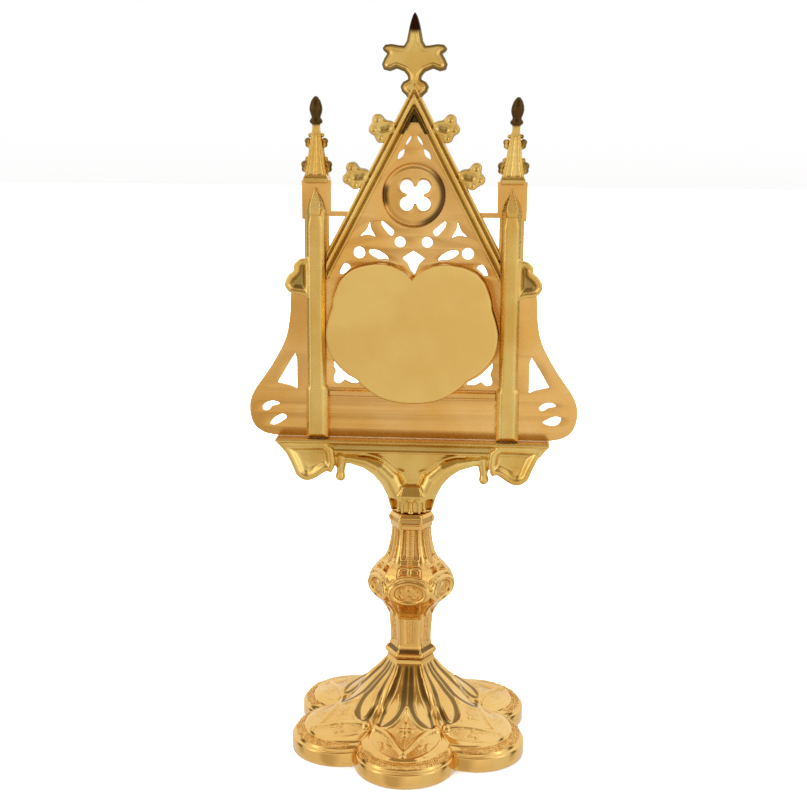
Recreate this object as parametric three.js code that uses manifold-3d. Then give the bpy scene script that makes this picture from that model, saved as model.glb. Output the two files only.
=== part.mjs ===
// Standing gothic reliquary in gold-plated cast brass.
// Millimetres, +Z up. The origin is on the stem axis at the underside of the foot.
// -Y is the back, where the capsule's lid is, and +Y is the front, where its window is.
import * as THREE from 'three';
import { mergeVertices } from 'three/addons/utils/BufferGeometryUtils.js';
import Module from 'manifold-3d';

const wasm = await Module();
wasm.setup();

// Driving dimensions.
const TOTAL_HEIGHT = 320;
const JOINT_GAP = 0.3;
const SIDES = 6;

const FOOT_LOBE_RING = 34.6;
const FOOT_LOBE_RADIUS = 22.1;
const FOOT_TOP = 38;
const STEM_BOTTOM = FOOT_TOP + JOINT_GAP;
const STEM_TOP = 105.8;
const BRACKET_BOTTOM = STEM_TOP + JOINT_GAP;
const BRACKET_TOP = 139;
const BRACKET_HALF_WIDTH = 60.2;
const BRACKET_HALF_DEPTH = 7.2;

const PLATE_HALF_THICKNESS = 1.25;
const PLATE_BOTTOM = BRACKET_TOP + JOINT_GAP;
const CASTING_FLOOR = PLATE_HALF_THICKNESS + JOINT_GAP;
const WING_HALF_WIDTH = 72.1;
const COLUMN_X = 41.65;
const COLUMN_HALF_DEPTH = 6;
const TURRET_TOP = 251;
const PINNACLE_TIP = 285.8;

const GABLE_SLOPE = 0.526;
const GABLE_OUTER_APEX = 291.2;
const GABLE_INNER_APEX = 278.9;
const GABLE_HALF_DEPTH = 5.5;
const GABLE_FOOT_X = 37.2;
const QUATREFOIL_Z = 245.1;

const CAPSULE_CENTRE_Z = 186;
const CASE_BACK = -8.6;
const CASE_FRONT = 8.2;
const CASE_WALL = 1.3;
const LID_THICKNESS = 1.5;
const GLASS_THICKNESS = 1.5;

// ---------- solids, joins and cuts ----------

function solid(geometry) {
  const bare = geometry.index ? geometry.toNonIndexed() : geometry.clone();
  bare.deleteAttribute('normal');
  bare.deleteAttribute('uv');
  const merged = mergeVertices(bare, 1e-4);
  const mesh = new wasm.Mesh({
    numProp: 3,
    vertProperties: new Float32Array(merged.attributes.position.array),
    triVerts: new Uint32Array(merged.index.array),
  });
  return new wasm.Manifold(mesh);
}

function geometryOf(body) {
  const mesh = body.getMesh();
  const geometry = new THREE.BufferGeometry();
  geometry.setAttribute('position', new THREE.BufferAttribute(mesh.vertProperties, 3));
  geometry.setIndex(new THREE.BufferAttribute(mesh.triVerts, 1));
  geometry.computeVertexNormals();
  return geometry;
}

function joined(bodies) {
  return bodies.reduce((whole, body) => whole.add(body));
}

function without(body, cutters) {
  return cutters.reduce((rest, cutter) => rest.subtract(cutter), body);
}

// A solid moved by a three.js transform.
function moved(geometry, place = {}) {
  const { x = 0, y = 0, z = 0, rx = 0, ry = 0, rz = 0, scale = [1, 1, 1] } = place;
  const pose = new THREE.Object3D();
  pose.position.set(x, y, z);
  pose.rotation.set(rx, ry, rz, 'ZYX');
  pose.scale.set(...scale);
  pose.updateMatrix();
  return solid(geometry.clone().applyMatrix4(pose.matrix));
}

function box(x0, x1, y0, y1, z0, z1) {
  const geometry = new THREE.BoxGeometry(x1 - x0, y1 - y0, z1 - z0);
  return moved(geometry, { x: (x0 + x1) / 2, y: (y0 + y1) / 2, z: (z0 + z1) / 2 });
}

// An outline drawn in the XZ plane becomes a slab from y0 to y1.
function slab(shape, y0, y1, curveSegments = 8) {
  const geometry = new THREE.ExtrudeGeometry(shape, { depth: y1 - y0, bevelEnabled: false, curveSegments });
  geometry.rotateX(Math.PI / 2);
  geometry.translate(0, y1, 0);
  return solid(geometry);
}

// The same slab with its edges sloped in by `bevel` at both faces.
function bevelledSlab(shape, y0, y1, bevel, curveSegments = 6) {
  const geometry = new THREE.ExtrudeGeometry(shape, {
    depth: y1 - y0 - 2 * bevel,
    bevelThickness: bevel,
    bevelSize: bevel,
    bevelOffset: -bevel,
    bevelSegments: 1,
    curveSegments,
  });
  geometry.rotateX(Math.PI / 2);
  geometry.translate(0, y1 - bevel, 0);
  return solid(geometry);
}

function polygon(points) {
  return new THREE.Shape(points.map(([x, z]) => new THREE.Vector2(x, z)));
}

// Points given for x >= 0, from the top down, mirrored to close the outline.
function mirroredPoints(half) {
  const otherHalf = half.filter(([x]) => x > 0).map(([x, z]) => [-x, z]);
  return [...half, ...otherHalf.reverse()];
}

function mirrored(half) {
  return polygon(mirroredPoints(half));
}

function alongCurve(points, steps) {
  const curve = new THREE.SplineCurve(points.map(([x, z]) => new THREE.Vector2(x, z)));
  return curve.getPoints(steps).map((point) => [point.x, point.y]);
}

// The union of ellipses around a centre, as the farthest reach of each ray from that centre.
function lobedPoints(lobes, steps, centre = [0, 0], grow = 0) {
  const points = [];
  for (let step = 0; step < steps; step += 1) {
    const angle = Math.PI / 2 + (2 * Math.PI * step) / steps;
    const dx = Math.cos(angle);
    const dz = Math.sin(angle);
    const reaches = lobes.map((lobe) => {
      const rx = lobe.rx + grow;
      const rz = lobe.rz + grow;
      const a = (dx / rx) ** 2 + (dz / rz) ** 2;
      const b = (dx * lobe.x) / rx ** 2 + (dz * lobe.z) / rz ** 2;
      const c = (lobe.x / rx) ** 2 + (lobe.z / rz) ** 2 - 1;
      const root = b * b - a * c;
      return root < 0 ? 0 : (b + Math.sqrt(root)) / a;
    });
    const reach = Math.max(...reaches);
    points.push([centre[0] + reach * dx, centre[1] + reach * dz]);
  }
  return points;
}

// A pointed almond between two tips.
function almond(from, to, width) {
  const middle = [(from[0] + to[0]) / 2, (from[1] + to[1]) / 2];
  const length = Math.hypot(to[0] - from[0], to[1] - from[1]);
  const side = [(-(to[1] - from[1]) / length) * width, ((to[0] - from[0]) / length) * width];
  const shape = new THREE.Shape();
  shape.moveTo(...from);
  shape.quadraticCurveTo(middle[0] - side[0], middle[1] - side[1], ...to);
  shape.quadraticCurveTo(middle[0] + side[0], middle[1] + side[1], ...from);
  return shape;
}

function disc(x, z, radius) {
  const shape = new THREE.Shape();
  shape.absarc(x, z, radius, 0, 2 * Math.PI, false);
  return shape;
}

// Corners joined by sides that sag towards the middle of the shape.
function saggingPolygon(corners, sag) {
  const cx = corners.reduce((sum, corner) => sum + corner[0], 0) / corners.length;
  const cz = corners.reduce((sum, corner) => sum + corner[1], 0) / corners.length;
  const shape = new THREE.Shape();
  shape.moveTo(...corners[0]);
  corners.forEach((corner, index) => {
    const next = corners[(index + 1) % corners.length];
    const mx = (corner[0] + next[0]) / 2;
    const mz = (corner[1] + next[1]) / 2;
    shape.quadraticCurveTo(mx + (cx - mx) * sag, mz + (cz - mz) * sag, ...next);
  });
  return shape;
}

// A rod of round section along a path of [x, y, z] points.
function rod(points, radius, steps, facets = 6) {
  const path = new THREE.CatmullRomCurve3(points.map((point) => new THREE.Vector3(...point)));
  const section = new THREE.Shape();
  section.absarc(0, 0, radius, 0, 2 * Math.PI, false);
  return solid(new THREE.ExtrudeGeometry(section, { steps, extrudePath: path, curveSegments: facets }));
}

function ellipsoid(x, y, z, rx, ry, rz, facets = 8, rings = 4) {
  return moved(new THREE.SphereGeometry(1, facets, rings), { x, y, z, rx: Math.PI / 2, scale: [rx, rz, ry] });
}

function aroundAxis(body, index, count = SIDES) {
  return body.rotate([0, 0, (360 * index) / count]);
}

function onEverySide(make) {
  const one = make();
  return Array.from({ length: SIDES }, (unused, index) => aroundAxis(one, index));
}

function otherSide(body) {
  return body.mirror([1, 0, 0]);
}

function turned(profile, segments, phiStart = 0) {
  const points = profile.map(([radius, z]) => new THREE.Vector2(radius, z));
  const geometry = new THREE.LatheGeometry(points, segments, phiStart, 2 * Math.PI);
  geometry.rotateX(Math.PI / 2);
  return geometry;
}

// ---------- foot ----------

// Reach and height of the foot along the middle of a lobe, from the neck out to the rim.
const footOuter = [
  [9.2, FOOT_TOP],
  [9.5, 36],
  [12.2, 32],
  [16.4, 28],
  [20.8, 24.1],
  [25, 20.9],
  [28.4, 18.6],
  [32, 16.5],
  [36, 14.5],
  [40, 12.8],
  [44, 11.5],
  [52.6, 9.2],
  [53.4, 7.8],
  [56.7, 6.6],
  [56.7, 0],
];
const footInner = [
  [54.3, 0],
  [54.3, 5.2],
  [34, 12.2],
  [16, 24.8],
];
const FOOT_SEGMENTS = 10 * SIDES;
const FOOT_HEXAGON_UNTIL = 13;
const FOOT_LOBED_FROM = 34;

// How far the outline reaches at an angle from the middle of a lobe, as a share of the lobe's own reach.
function footOutline(fromLobe, radius) {
  const reach = FOOT_LOBE_RING + FOOT_LOBE_RADIUS;
  const across = FOOT_LOBE_RING * Math.sin(fromLobe);
  const lobed = (FOOT_LOBE_RING * Math.cos(fromLobe) + Math.sqrt(FOOT_LOBE_RADIUS ** 2 - across ** 2)) / reach;
  const hexagon = 1 / Math.cos(fromLobe);
  const share = THREE.MathUtils.smoothstep(radius, FOOT_HEXAGON_UNTIL, FOOT_LOBED_FROM);
  return THREE.MathUtils.lerp(hexagon, lobed, share);
}

function lobeAngle(x, y) {
  const sixth = Math.PI / 3;
  const fromFirst = Math.atan2(y, x) + Math.PI / 2;
  return fromFirst - sixth * Math.round(fromFirst / sixth);
}

// Raised ribs on the crown of each lobe: lancets that fan from the neck, their cusped foot, and a kite below.
const RIB = { lift: 1, halfWidth: 1.9, inner: 0.2, outer: 0.41, from: 11, to: 26.5, border: 28.4, kiteTip: 44 };

function footRib(radius, fromLobe) {
  const bearing = Math.abs(fromLobe);
  const across = radius * Math.sin(bearing);
  const distances = [];
  if (radius > RIB.from && radius < RIB.to) {
    distances.push(Math.abs(bearing - RIB.inner) * radius, Math.abs(bearing - RIB.outer) * radius);
  }
  if (bearing < RIB.outer + 0.02 && radius >= RIB.border) {
    const kite = RIB.kiteTip - across * ((RIB.kiteTip - RIB.border) / (RIB.border * Math.sin(RIB.outer)));
    distances.push(Math.abs(radius - RIB.border), Math.abs(radius - kite));
  }
  const nearest = Math.min(RIB.halfWidth, ...distances);
  return RIB.lift * (1 - nearest / RIB.halfWidth);
}

function foot() {
  const profile = [[0, FOOT_TOP], ...footOuter, ...footInner, [0, 30.2]].reverse();
  const geometry = turned(profile, FOOT_SEGMENTS);
  const position = geometry.attributes.position;
  for (let index = 0; index < position.count; index += 1) {
    const row = profile[index % profile.length];
    const x = position.getX(index);
    const y = position.getY(index);
    const bearing = lobeAngle(x, y);
    const factor = footOutline(bearing, row[0]);
    const lift = footOuter.includes(row) ? footRib(row[0], bearing) : 0;
    position.setXYZ(index, x * factor, y * factor, row[1] + lift);
  }
  return solid(geometry);
}

// ---------- stem with its knop ----------

// Corner radius and height of the hexagonal stem.
const stemProfile = [
  [0, STEM_BOTTOM],
  [10.9, STEM_BOTTOM],
  [12.3, 39.6],
  [12.3, 40.8],
  [10.4, 43.2],
  [9.4, 45],
  [9.4, 48],
  [10.1, 57],
  [11.6, 61.2],
  [13.6, 63.4],
  [16.4, 65.2],
  [18.4, 69],
  [18.5, 73],
  [18, 77],
  [16.6, 80.6],
  [14.4, 82.8],
  [11.4, 85],
  [10.3, 88.4],
  [9.2, 93],
  [8.8, 96.6],
  [9, 100],
  [10, 102.2],
  [10.2, 103.6],
  [9.8, 105],
  [9.2, STEM_TOP],
  [0, STEM_TOP],
];
const HEXAGON_FLAT = Math.cos(Math.PI / SIDES);
const KNOP_MIDDLE = 69.4;
const MEDALLION = { halfWidth: 8.6, halfHeight: 5.2, face: 17 };

// A groove sunk into one flat, following the flare of the stem.
function stemGroove(x0, x1, z0, z1, depth) {
  const path = stemProfile.filter(([radius, z]) => radius > 0 && z > z0 && z < z1);
  const radiusAt = (z) => {
    const above = stemProfile.findIndex(([, height]) => height > z);
    const [r0, h0] = stemProfile[above - 1];
    const [r1, h1] = stemProfile[above];
    return THREE.MathUtils.mapLinear(z, h0, h1, r0, r1);
  };
  const floor = [[radiusAt(z0), z0], ...path, [radiusAt(z1), z1]].map(([r, z]) => [-(r * HEXAGON_FLAT - depth), z]);
  const reach = -MEDALLION.face - 4;
  const shape = polygon([...floor, [reach, z1], [reach, z0]]);
  const geometry = new THREE.ExtrudeGeometry(shape, { depth: x1 - x0, bevelEnabled: false });
  geometry.applyMatrix4(new THREE.Matrix4().makeBasis(
    new THREE.Vector3(0, 1, 0),
    new THREE.Vector3(0, 0, 1),
    new THREE.Vector3(1, 0, 0),
  ));
  geometry.translate(x0, 0, 0);
  return solid(geometry);
}

function knopMedallion() {
  const { halfWidth, halfHeight, face } = MEDALLION;
  const oval = polygon(lobedPoints([{ x: 0, z: 0, rx: halfWidth, rz: halfHeight }], 12, [0, KNOP_MIDDLE]));
  const petals = [-1, 1].flatMap((sx) => [-1, 1].map((sz) => ({ x: 2.4 * sx, z: 1.4 * sz, rx: 2.3, rz: 1.6 })));
  const heart = { x: 0, z: 0, rx: 2.4, rz: 1.7 };
  const rosette = polygon(lobedPoints([heart, ...petals], 8, [0, KNOP_MIDDLE]));
  return joined([
    bevelledSlab(oval, -face, -12, 0.8),
    slab(rosette, -face - 0.7, -12),
  ]);
}

function knopSpur() {
  const spur = moved(new THREE.SphereGeometry(1, 6, 4), {
    x: 17.2,
    z: 78,
    ry: 0.3,
    scale: [1.9, 2.4, 3.4],
  });
  return spur;
}

function stem() {
  const body = solid(turned(stemProfile, SIDES, Math.PI / 2));
  const grooves = onEverySide(() => joined([
    stemGroove(-4, -1.9, 83.6, 95.4, 0.8),
    stemGroove(1.9, 4, 83.6, 95.4, 0.8),
    stemGroove(-4, 4, 98, 100.6, 0.7),
  ]));
  const carved = without(body, grooves);
  return joined([carved, ...onEverySide(knopMedallion), ...onEverySide(knopSpur)]);
}

// ---------- bracket that carries the shrine ----------

const SOFFIT_SPRING_X = 27;
const NECK_RADIUS = 8.2;

// Lower edge of the leafy end of the bracket, from the pendant out to the cornice.
const consoleEdge = alongCurve([
  [36, 126],
  [40.5, 124.8],
  [43, 122.4],
  [47.5, 120.4],
  [52, 121.6],
  [54.8, 127],
  [57.8, 134.4],
], 10);

function bracketWeb() {
  const arch = alongCurve([
    [NECK_RADIUS, 107.5],
    [10.6, 113.5],
    [15.6, 120.4],
    [21.4, 124.6],
    [SOFFIT_SPRING_X, 126.4],
  ], 8);
  const half = [[0, 135], [37, 135], [36.4, 126], ...arch.reverse(), [NECK_RADIUS, 107], [0, 107]];
  return slab(mirrored(half), -3.6, 3.6);
}

// A broad leaf under each end of the cornice, hollowed on its faces.
function bracketConsole() {
  const outline = polygon([[36, 134.4], ...consoleEdge]);
  const leaf = bevelledSlab(outline, -6.4, 6.4, 1.5);
  const dishes = [-1, 1].map((face) => ellipsoid(48.4, 9.6 * face, 128, 5.8, 5, 5.4, 10));
  return without(leaf, dishes);
}

function bracketCornice() {
  const section = polygon([
    [-BRACKET_HALF_DEPTH, BRACKET_TOP],
    [-BRACKET_HALF_DEPTH, 137.4],
    [-5.8, 136.6],
    [-5.2, 134.6],
    [-3.6, 133.4],
    [3.6, 133.4],
    [5.2, 134.6],
    [5.8, 136.6],
    [BRACKET_HALF_DEPTH, 137.4],
    [BRACKET_HALF_DEPTH, BRACKET_TOP],
  ]);
  const length = 2 * BRACKET_HALF_WIDTH;
  const geometry = new THREE.ExtrudeGeometry(section, { depth: length, bevelEnabled: false });
  geometry.applyMatrix4(new THREE.Matrix4().makeBasis(
    new THREE.Vector3(0, 1, 0),
    new THREE.Vector3(0, 0, 1),
    new THREE.Vector3(1, 0, 0),
  ));
  geometry.translate(-BRACKET_HALF_WIDTH, 0, 0);
  const ends = mirrored([[BRACKET_HALF_WIDTH, BRACKET_TOP], [BRACKET_HALF_WIDTH, 138], [55.6, 133]]);
  return solid(geometry).intersect(slab(ends, -BRACKET_HALF_DEPTH - 1, BRACKET_HALF_DEPTH + 1));
}

function bracketArm() {
  const pieces = [];
  for (const face of [-1, 1]) {
    pieces.push(rod([
      [32, 3.4 * face, 130],
      [25, 3.8 * face, 128.6],
      [18, 4 * face, 124],
      [12.6, 4 * face, 117],
      [9.4, 3.4 * face, 108.6],
    ], 3, 5, 2));
  }
  pieces.push(rod([[31.6, 0, 129], [31.8, 0, 124], [32, 0, 121]], 2, 2, 3));
  pieces.push(ellipsoid(32, 0, 120.6, 2.6, 2.6, 2.2, 6));
  pieces.push(bracketConsole());
  return joined(pieces);
}

function bracket() {
  const neck = solid(turned([
    [0, BRACKET_BOTTOM],
    [7.6, BRACKET_BOTTOM],
    [8, 110],
    [9.6, 114],
    [6, 122],
    [0, 122],
  ], SIDES * 2, Math.PI / 2));
  const arm = bracketArm();
  return joined([bracketWeb(), bracketCornice(), neck, arm, otherSide(arm)]);
}

// ---------- tracery plate ----------

function gableEdge(apex, z) {
  return (apex - z) * GABLE_SLOPE;
}

const GROOVE_DEPTH = 1.1;
const PLATE_APEX = GABLE_OUTER_APEX - (GROOVE_DEPTH + JOINT_GAP) / Math.sin(Math.atan(GABLE_SLOPE));
const PLATE_TOP = 275.4;
const TIE_BAR = { low: 235.9, high: 238.1 };
const STRIP = { narrow: 5.3, wide: 6.8, step: 234.6 };
const WING_TOP = 201.5;

function plateOutline() {
  const wing = alongCurve([
    [53.3, WING_TOP - 1],
    [53.8, 192],
    [56, 182],
    [62.3, 170.4],
    [70.4, 158.4],
    [WING_HALF_WIDTH, 150.6],
    [70.2, 144],
    [66, 140.6],
    [60.8, PLATE_BOTTOM],
  ], 22);
  return mirrored([
    [gableEdge(PLATE_APEX, PLATE_TOP), PLATE_TOP],
    [gableEdge(PLATE_APEX, TIE_BAR.high), TIE_BAR.high],
    [COLUMN_X - STRIP.wide, TIE_BAR.high],
    [COLUMN_X - STRIP.wide, TURRET_TOP],
    [COLUMN_X + STRIP.wide, TURRET_TOP],
    [COLUMN_X + STRIP.wide, STRIP.step],
    [COLUMN_X + STRIP.narrow, STRIP.step],
    [COLUMN_X + STRIP.narrow, WING_TOP + 2],
    ...wing,
    [0, PLATE_BOTTOM],
  ]);
}

function quatrefoil() {
  const lobes = [{ x: 0, z: 0, rx: 3.9, rz: 3.9 }];
  for (const sx of [-1, 1]) {
    for (const sz of [-1, 1]) {
      lobes.push({ x: 3.65 * sx, z: 3.65 * sz, rx: 2.55, rz: 2.55 });
    }
  }
  return polygon(lobedPoints(lobes, 32, [0, QUATREFOIL_Z]));
}

const kite = [[0, 221.5], [4.9, 218.1], [1.6, 215.6], [0, 211], [-1.6, 215.6], [-4.9, 218.1]];

// The piercings of the right half of the tracery; the left half mirrors them.
function tracerySide() {
  return [
    almond([3.4, 266.4], [1.6, 270.4], 2.4),
    almond([6.4, 260.4], [4.4, 264.6], 2.6),
    almond([9.3, 227.6], [13.6, 234.4], 3.4),
    almond([11.4, 217], [18.8, 221.6], 4),
    disc(6.2, 225.4, 2.3),
    disc(23.4, 220.6, 2.3),
    saggingPolygon([[19.3, 235], [16.2, 226.9], [23.4, 227.1]], 0.5),
    saggingPolygon([[29.6, 216.8], [27.4, 212.4], [31.8, 212.2]], 0.15),
    saggingPolygon([[34.8, 173.4], [34.8, 162.9], [23.4, 162.9]], 0.3),
    saggingPolygon([[51.4, 176.4], [51.1, 159.4], [59.8, 162.2]], 0.12),
    saggingPolygon([[29.4, TIE_BAR.low], [COLUMN_X - STRIP.narrow, TIE_BAR.low], [COLUMN_X - STRIP.narrow, 222.8]], 0),
  ];
}

// The scroll slots read the same way round on both wings.
function scrollSlots(side) {
  const centre = side * 61.4;
  return [
    almond([centre - 4.8, 150], [centre + 3.4, 154.2], 4),
    almond([centre - 2.2, 143.6], [centre + 5.6, 148.2], 4.4),
  ];
}

const ROUNDEL = { radius: 13.4, floor: 11, depth: 0.8 };
const SILL = { low: 156.6, high: 162.6, depth: 3.4, halfLength: 36.4 };

function tracery() {
  const through = (shape) => slab(shape, -4, 4, 3);
  const right = joined(tracerySide().map(through));
  const cuts = [right, otherSide(right), through(quatrefoil()), through(polygon(kite))];
  for (const side of [-1, 1]) {
    cuts.push(...scrollSlots(side).map(through));
  }
  cuts.push(slab(capsuleShape(-CASE_WALL + 0.8 + JOINT_GAP), -5, 5));
  const dish = new THREE.CylinderGeometry(ROUNDEL.radius, ROUNDEL.floor, ROUNDEL.depth, 36);
  cuts.push(moved(dish, { y: -PLATE_HALF_THICKNESS + ROUNDEL.depth / 2, z: QUATREFOIL_Z, rx: Math.PI }));
  const sill = joined([
    box(-SILL.halfLength, SILL.halfLength, -SILL.depth, 0, SILL.low + 3, SILL.high - 1),
    box(-SILL.halfLength, SILL.halfLength, -SILL.depth + 1, 0, SILL.low, SILL.high),
  ]);
  const plate = slab(plateOutline(), -PLATE_HALF_THICKNESS, PLATE_HALF_THICKNESS);
  const flange = slab(capsuleShape(FLANGE_GROWTH + JOINT_GAP), -5, -PLATE_HALF_THICKNESS);
  return without(plate.add(sill), [flange, ...cuts]);
}

// ---------- buttresses ----------

const BUTTRESS = { halfWidth: 4.1, bevel: 1.6, baseHalfWidth: 4.9, baseTop: 161.5, face: 1.6 };

function buttressOutline() {
  const { halfWidth, baseHalfWidth, baseTop } = BUTTRESS;
  return mirrored([
    [0, 249.4],
    [1.7, 245.4],
    [4.6, 240],
    [4.5, 236.4],
    [halfWidth, 232.6],
    [halfWidth, baseTop + 1.4],
    [baseHalfWidth, baseTop],
    [baseHalfWidth, PLATE_BOTTOM],
  ]);
}

function buttressBar() {
  const bar = bevelledSlab(buttressOutline(), -COLUMN_HALF_DEPTH, COLUMN_HALF_DEPTH, BUTTRESS.bevel);
  return bar.translate([COLUMN_X, 0, 0]);
}

// The small curled leaf at the shoulder, dished on its face.
function shoulderLeaf() {
  const lobes = [
    { x: 0, z: 0, rx: 4.4, rz: 5.2 },
    { x: 3.2, z: -1, rx: 3.4, rz: 3.8 },
    { x: -0.6, z: 5.2, rx: 2.6, rz: 2.6 },
    { x: 0.8, z: -5, rx: 3.4, rz: 2 },
  ];
  const leaf = bevelledSlab(polygon(lobedPoints(lobes, 20, [49.2, 208.4])), -5, -CASTING_FLOOR, 0.9);
  const dish = ellipsoid(49.8, -8.2, 208, 4.6, 4.6, 5.6, 12);
  return leaf.subtract(dish);
}

function backButtress() {
  const bar = buttressBar().intersect(box(20, 60, -20, -CASTING_FLOOR, 100, 300));
  return bar.add(shoulderLeaf());
}

// Round bud, ring and neck at the top of a pinnacle.
const budProfile = [
  [0, 270.5],
  [1.8, 270.5],
  [1.6, 274],
  [2.7, 275.6],
  [2.7, 276.6],
  [1.7, 277.6],
  [2.7, 280.4],
  [1.6, 283.4],
  [0, PINNACLE_TIP],
];
const SPIRE = { bottom: TURRET_TOP + JOINT_GAP, top: 272.5, halfWidth: 5, topHalfWidth: 1.5, y: 1.2 };
const SPIRE_CROCKETS = [{ z: 256.6, reach: 4.9, size: 1.7 }, { z: 266.4, reach: 3.5, size: 1.5 }];

function pinnacle() {
  const height = SPIRE.top - SPIRE.bottom;
  const spire = new THREE.CylinderGeometry(SPIRE.topHalfWidth * 1.35, SPIRE.halfWidth * 1.35, height, 4, 1, false, Math.PI / 4);
  const body = moved(spire, { y: SPIRE.y, z: SPIRE.bottom + height / 2, rx: Math.PI / 2 });
  const hollow = new THREE.CylinderGeometry(0.5, SPIRE.halfWidth * 0.95, height - 2, 4, 1);
  const groove = moved(hollow, { y: SPIRE.y - 4.6, z: SPIRE.bottom + height / 2 - 1.6, rx: Math.PI / 2 });
  const bud = solid(turned(budProfile, 6)).translate([0, SPIRE.y, 0]);
  const leaves = SPIRE_CROCKETS.flatMap(({ z, reach, size }) => [
    ellipsoid(reach, SPIRE.y, z, size, size, size * 1.15, 5, 3),
    ellipsoid(-reach, SPIRE.y, z, size, size, size * 1.15, 5, 3),
    ellipsoid(0, SPIRE.y + reach, z, size, size, size * 1.15, 5, 3),
  ]);
  return joined([body.subtract(groove), bud, ...leaves]).translate([COLUMN_X, 0, 0]);
}

function frontTurret() {
  const bar = buttressBar().intersect(box(20, 60, CASTING_FLOOR, 20, 100, 245));
  const shaft = box(COLUMN_X - 4.2, COLUMN_X + 4.2, CASTING_FLOOR, 5.2, 236, SPIRE.bottom + 0.5);
  const capital = bevelledSlab(polygon([
    [COLUMN_X - 6.4, SPIRE.bottom],
    [COLUMN_X + 6.4, SPIRE.bottom],
    [COLUMN_X + 5.2, SPIRE.bottom + 2.4],
    [COLUMN_X - 5.2, SPIRE.bottom + 2.4],
  ]), -4.4, 6.6, 0.6);
  return joined([bar, shaft, capital, pinnacle()]);
}

// ---------- gable with crockets and finial ----------

const GABLE_ANGLE = Math.atan(GABLE_SLOPE);
const RAIL_WIDTH = (GABLE_OUTER_APEX - GABLE_INNER_APEX) * Math.sin(GABLE_ANGLE);

// Moulded section of a rail: distance in from its outer edge, and depth. The slot holds the plate's edge.
const railSection = [
  [0, -3.9],
  [1.6, -GABLE_HALF_DEPTH],
  [2.9, -GABLE_HALF_DEPTH],
  [RAIL_WIDTH, -2.7],
  [RAIL_WIDTH, -CASTING_FLOOR],
  [GROOVE_DEPTH, -CASTING_FLOOR],
  [GROOVE_DEPTH, CASTING_FLOOR],
  [RAIL_WIDTH, CASTING_FLOOR],
  [RAIL_WIDTH, 2.7],
  [2.9, GABLE_HALF_DEPTH],
  [1.6, GABLE_HALF_DEPTH],
  [0, 3.9],
];

function gableRails() {
  const length = GABLE_FOOT_X / Math.sin(GABLE_ANGLE) + 2 * RAIL_WIDTH;
  const geometry = new THREE.ExtrudeGeometry(polygon(railSection), { depth: length, bevelEnabled: false });
  geometry.translate(0, 0, -RAIL_WIDTH);
  geometry.applyMatrix4(new THREE.Matrix4().makeBasis(
    new THREE.Vector3(-Math.cos(GABLE_ANGLE), 0, -Math.sin(GABLE_ANGLE)),
    new THREE.Vector3(0, 1, 0),
    new THREE.Vector3(Math.sin(GABLE_ANGLE), 0, -Math.cos(GABLE_ANGLE)),
  ));
  geometry.translate(0, 0, GABLE_OUTER_APEX);
  const rail = solid(geometry).intersect(box(0, GABLE_FOOT_X, -10, 10, 180, GABLE_OUTER_APEX));
  const openBelow = box(-1, GABLE_FOOT_X + 1, -CASTING_FLOOR, CASTING_FLOOR, 180, TIE_BAR.high + JOINT_GAP);
  const clasping = rail.subtract(openBelow);
  return clasping.add(otherSide(clasping));
}

// A three-lobed leaf that curls out from the slope, dished on its back.
function gableCrocket(x, z) {
  const lobes = [{ x: 0, z: 0, rx: 3.3, rz: 3.1 }, { x: -3.4, z: 0.4, rx: 2.6, rz: 2.6 }];
  for (const degrees of [-62, -8, 48]) {
    const angle = THREE.MathUtils.degToRad(degrees);
    lobes.push({ x: 3.4 * Math.cos(angle), z: 0.4 + 3.5 * Math.sin(angle), rx: 1.8, rz: 1.8 });
  }
  const leaf = bevelledSlab(polygon(lobedPoints(lobes, 18, [x, z])), -4.2, 3.6, 0.8);
  const dish = ellipsoid(x + 0.6, -6.4, z, 3.6, 3.6, 3.2, 10);
  return leaf.subtract(dish);
}

const finialHalf = [
  [0, TOTAL_HEIGHT],
  [1.6, 316.4],
  [2.6, 311.4],
  [3.6, 307.6],
  [5.4, 305.6],
  [8, 306],
  [9.4, 305.4],
  [11.2, 306.8],
  [12.9, 306.4],
  [13.2, 304.6],
  [11.5, 302.6],
  [13.4, 300.2],
  [14, 297.8],
  [12.6, 296.3],
  [10.2, 297.2],
  [6.4, 297.4],
  [4.2, 295.8],
  [3, 293.2],
  [4.8, 292],
  [6, 290.2],
  [5.6, 288.4],
  [3.4, 287.2],
  [2.4, 285],
  [0, 283],
];

function finial() {
  const leaf = bevelledSlab(mirrored(finialHalf), -3.6, 3.6, 0.7);
  const dish = ellipsoid(0, -5.6, 301.4, 10.6, 3.2, 4, 14);
  return leaf.subtract(dish);
}

// Solid web behind the pocket under the apex.
function apexWeb() {
  const low = 273;
  const web = mirrored([[0, GABLE_INNER_APEX + 1], [gableEdge(GABLE_INNER_APEX + 1, low), low], [0, low]]);
  return slab(web, CASTING_FLOOR, CASTING_FLOOR + 2);
}

function gable() {
  const crockets = joined([gableCrocket(14, 272.6), gableCrocket(24.6, 252.6)]);
  const top = PLATE_TOP + JOINT_GAP;
  const slotApex = PLATE_APEX + JOINT_GAP / Math.sin(GABLE_ANGLE);
  const slotEdge = [[gableEdge(slotApex, top), top], [gableEdge(slotApex, TIE_BAR.high), TIE_BAR.high]];
  const plateSlot = slab(mirrored(slotEdge), -CASTING_FLOOR, CASTING_FLOOR);
  return joined([gableRails(), apexWeb(), crockets, otherSide(crockets), finial()]).subtract(plateSlot);
}

// ---------- capsule ----------

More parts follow.
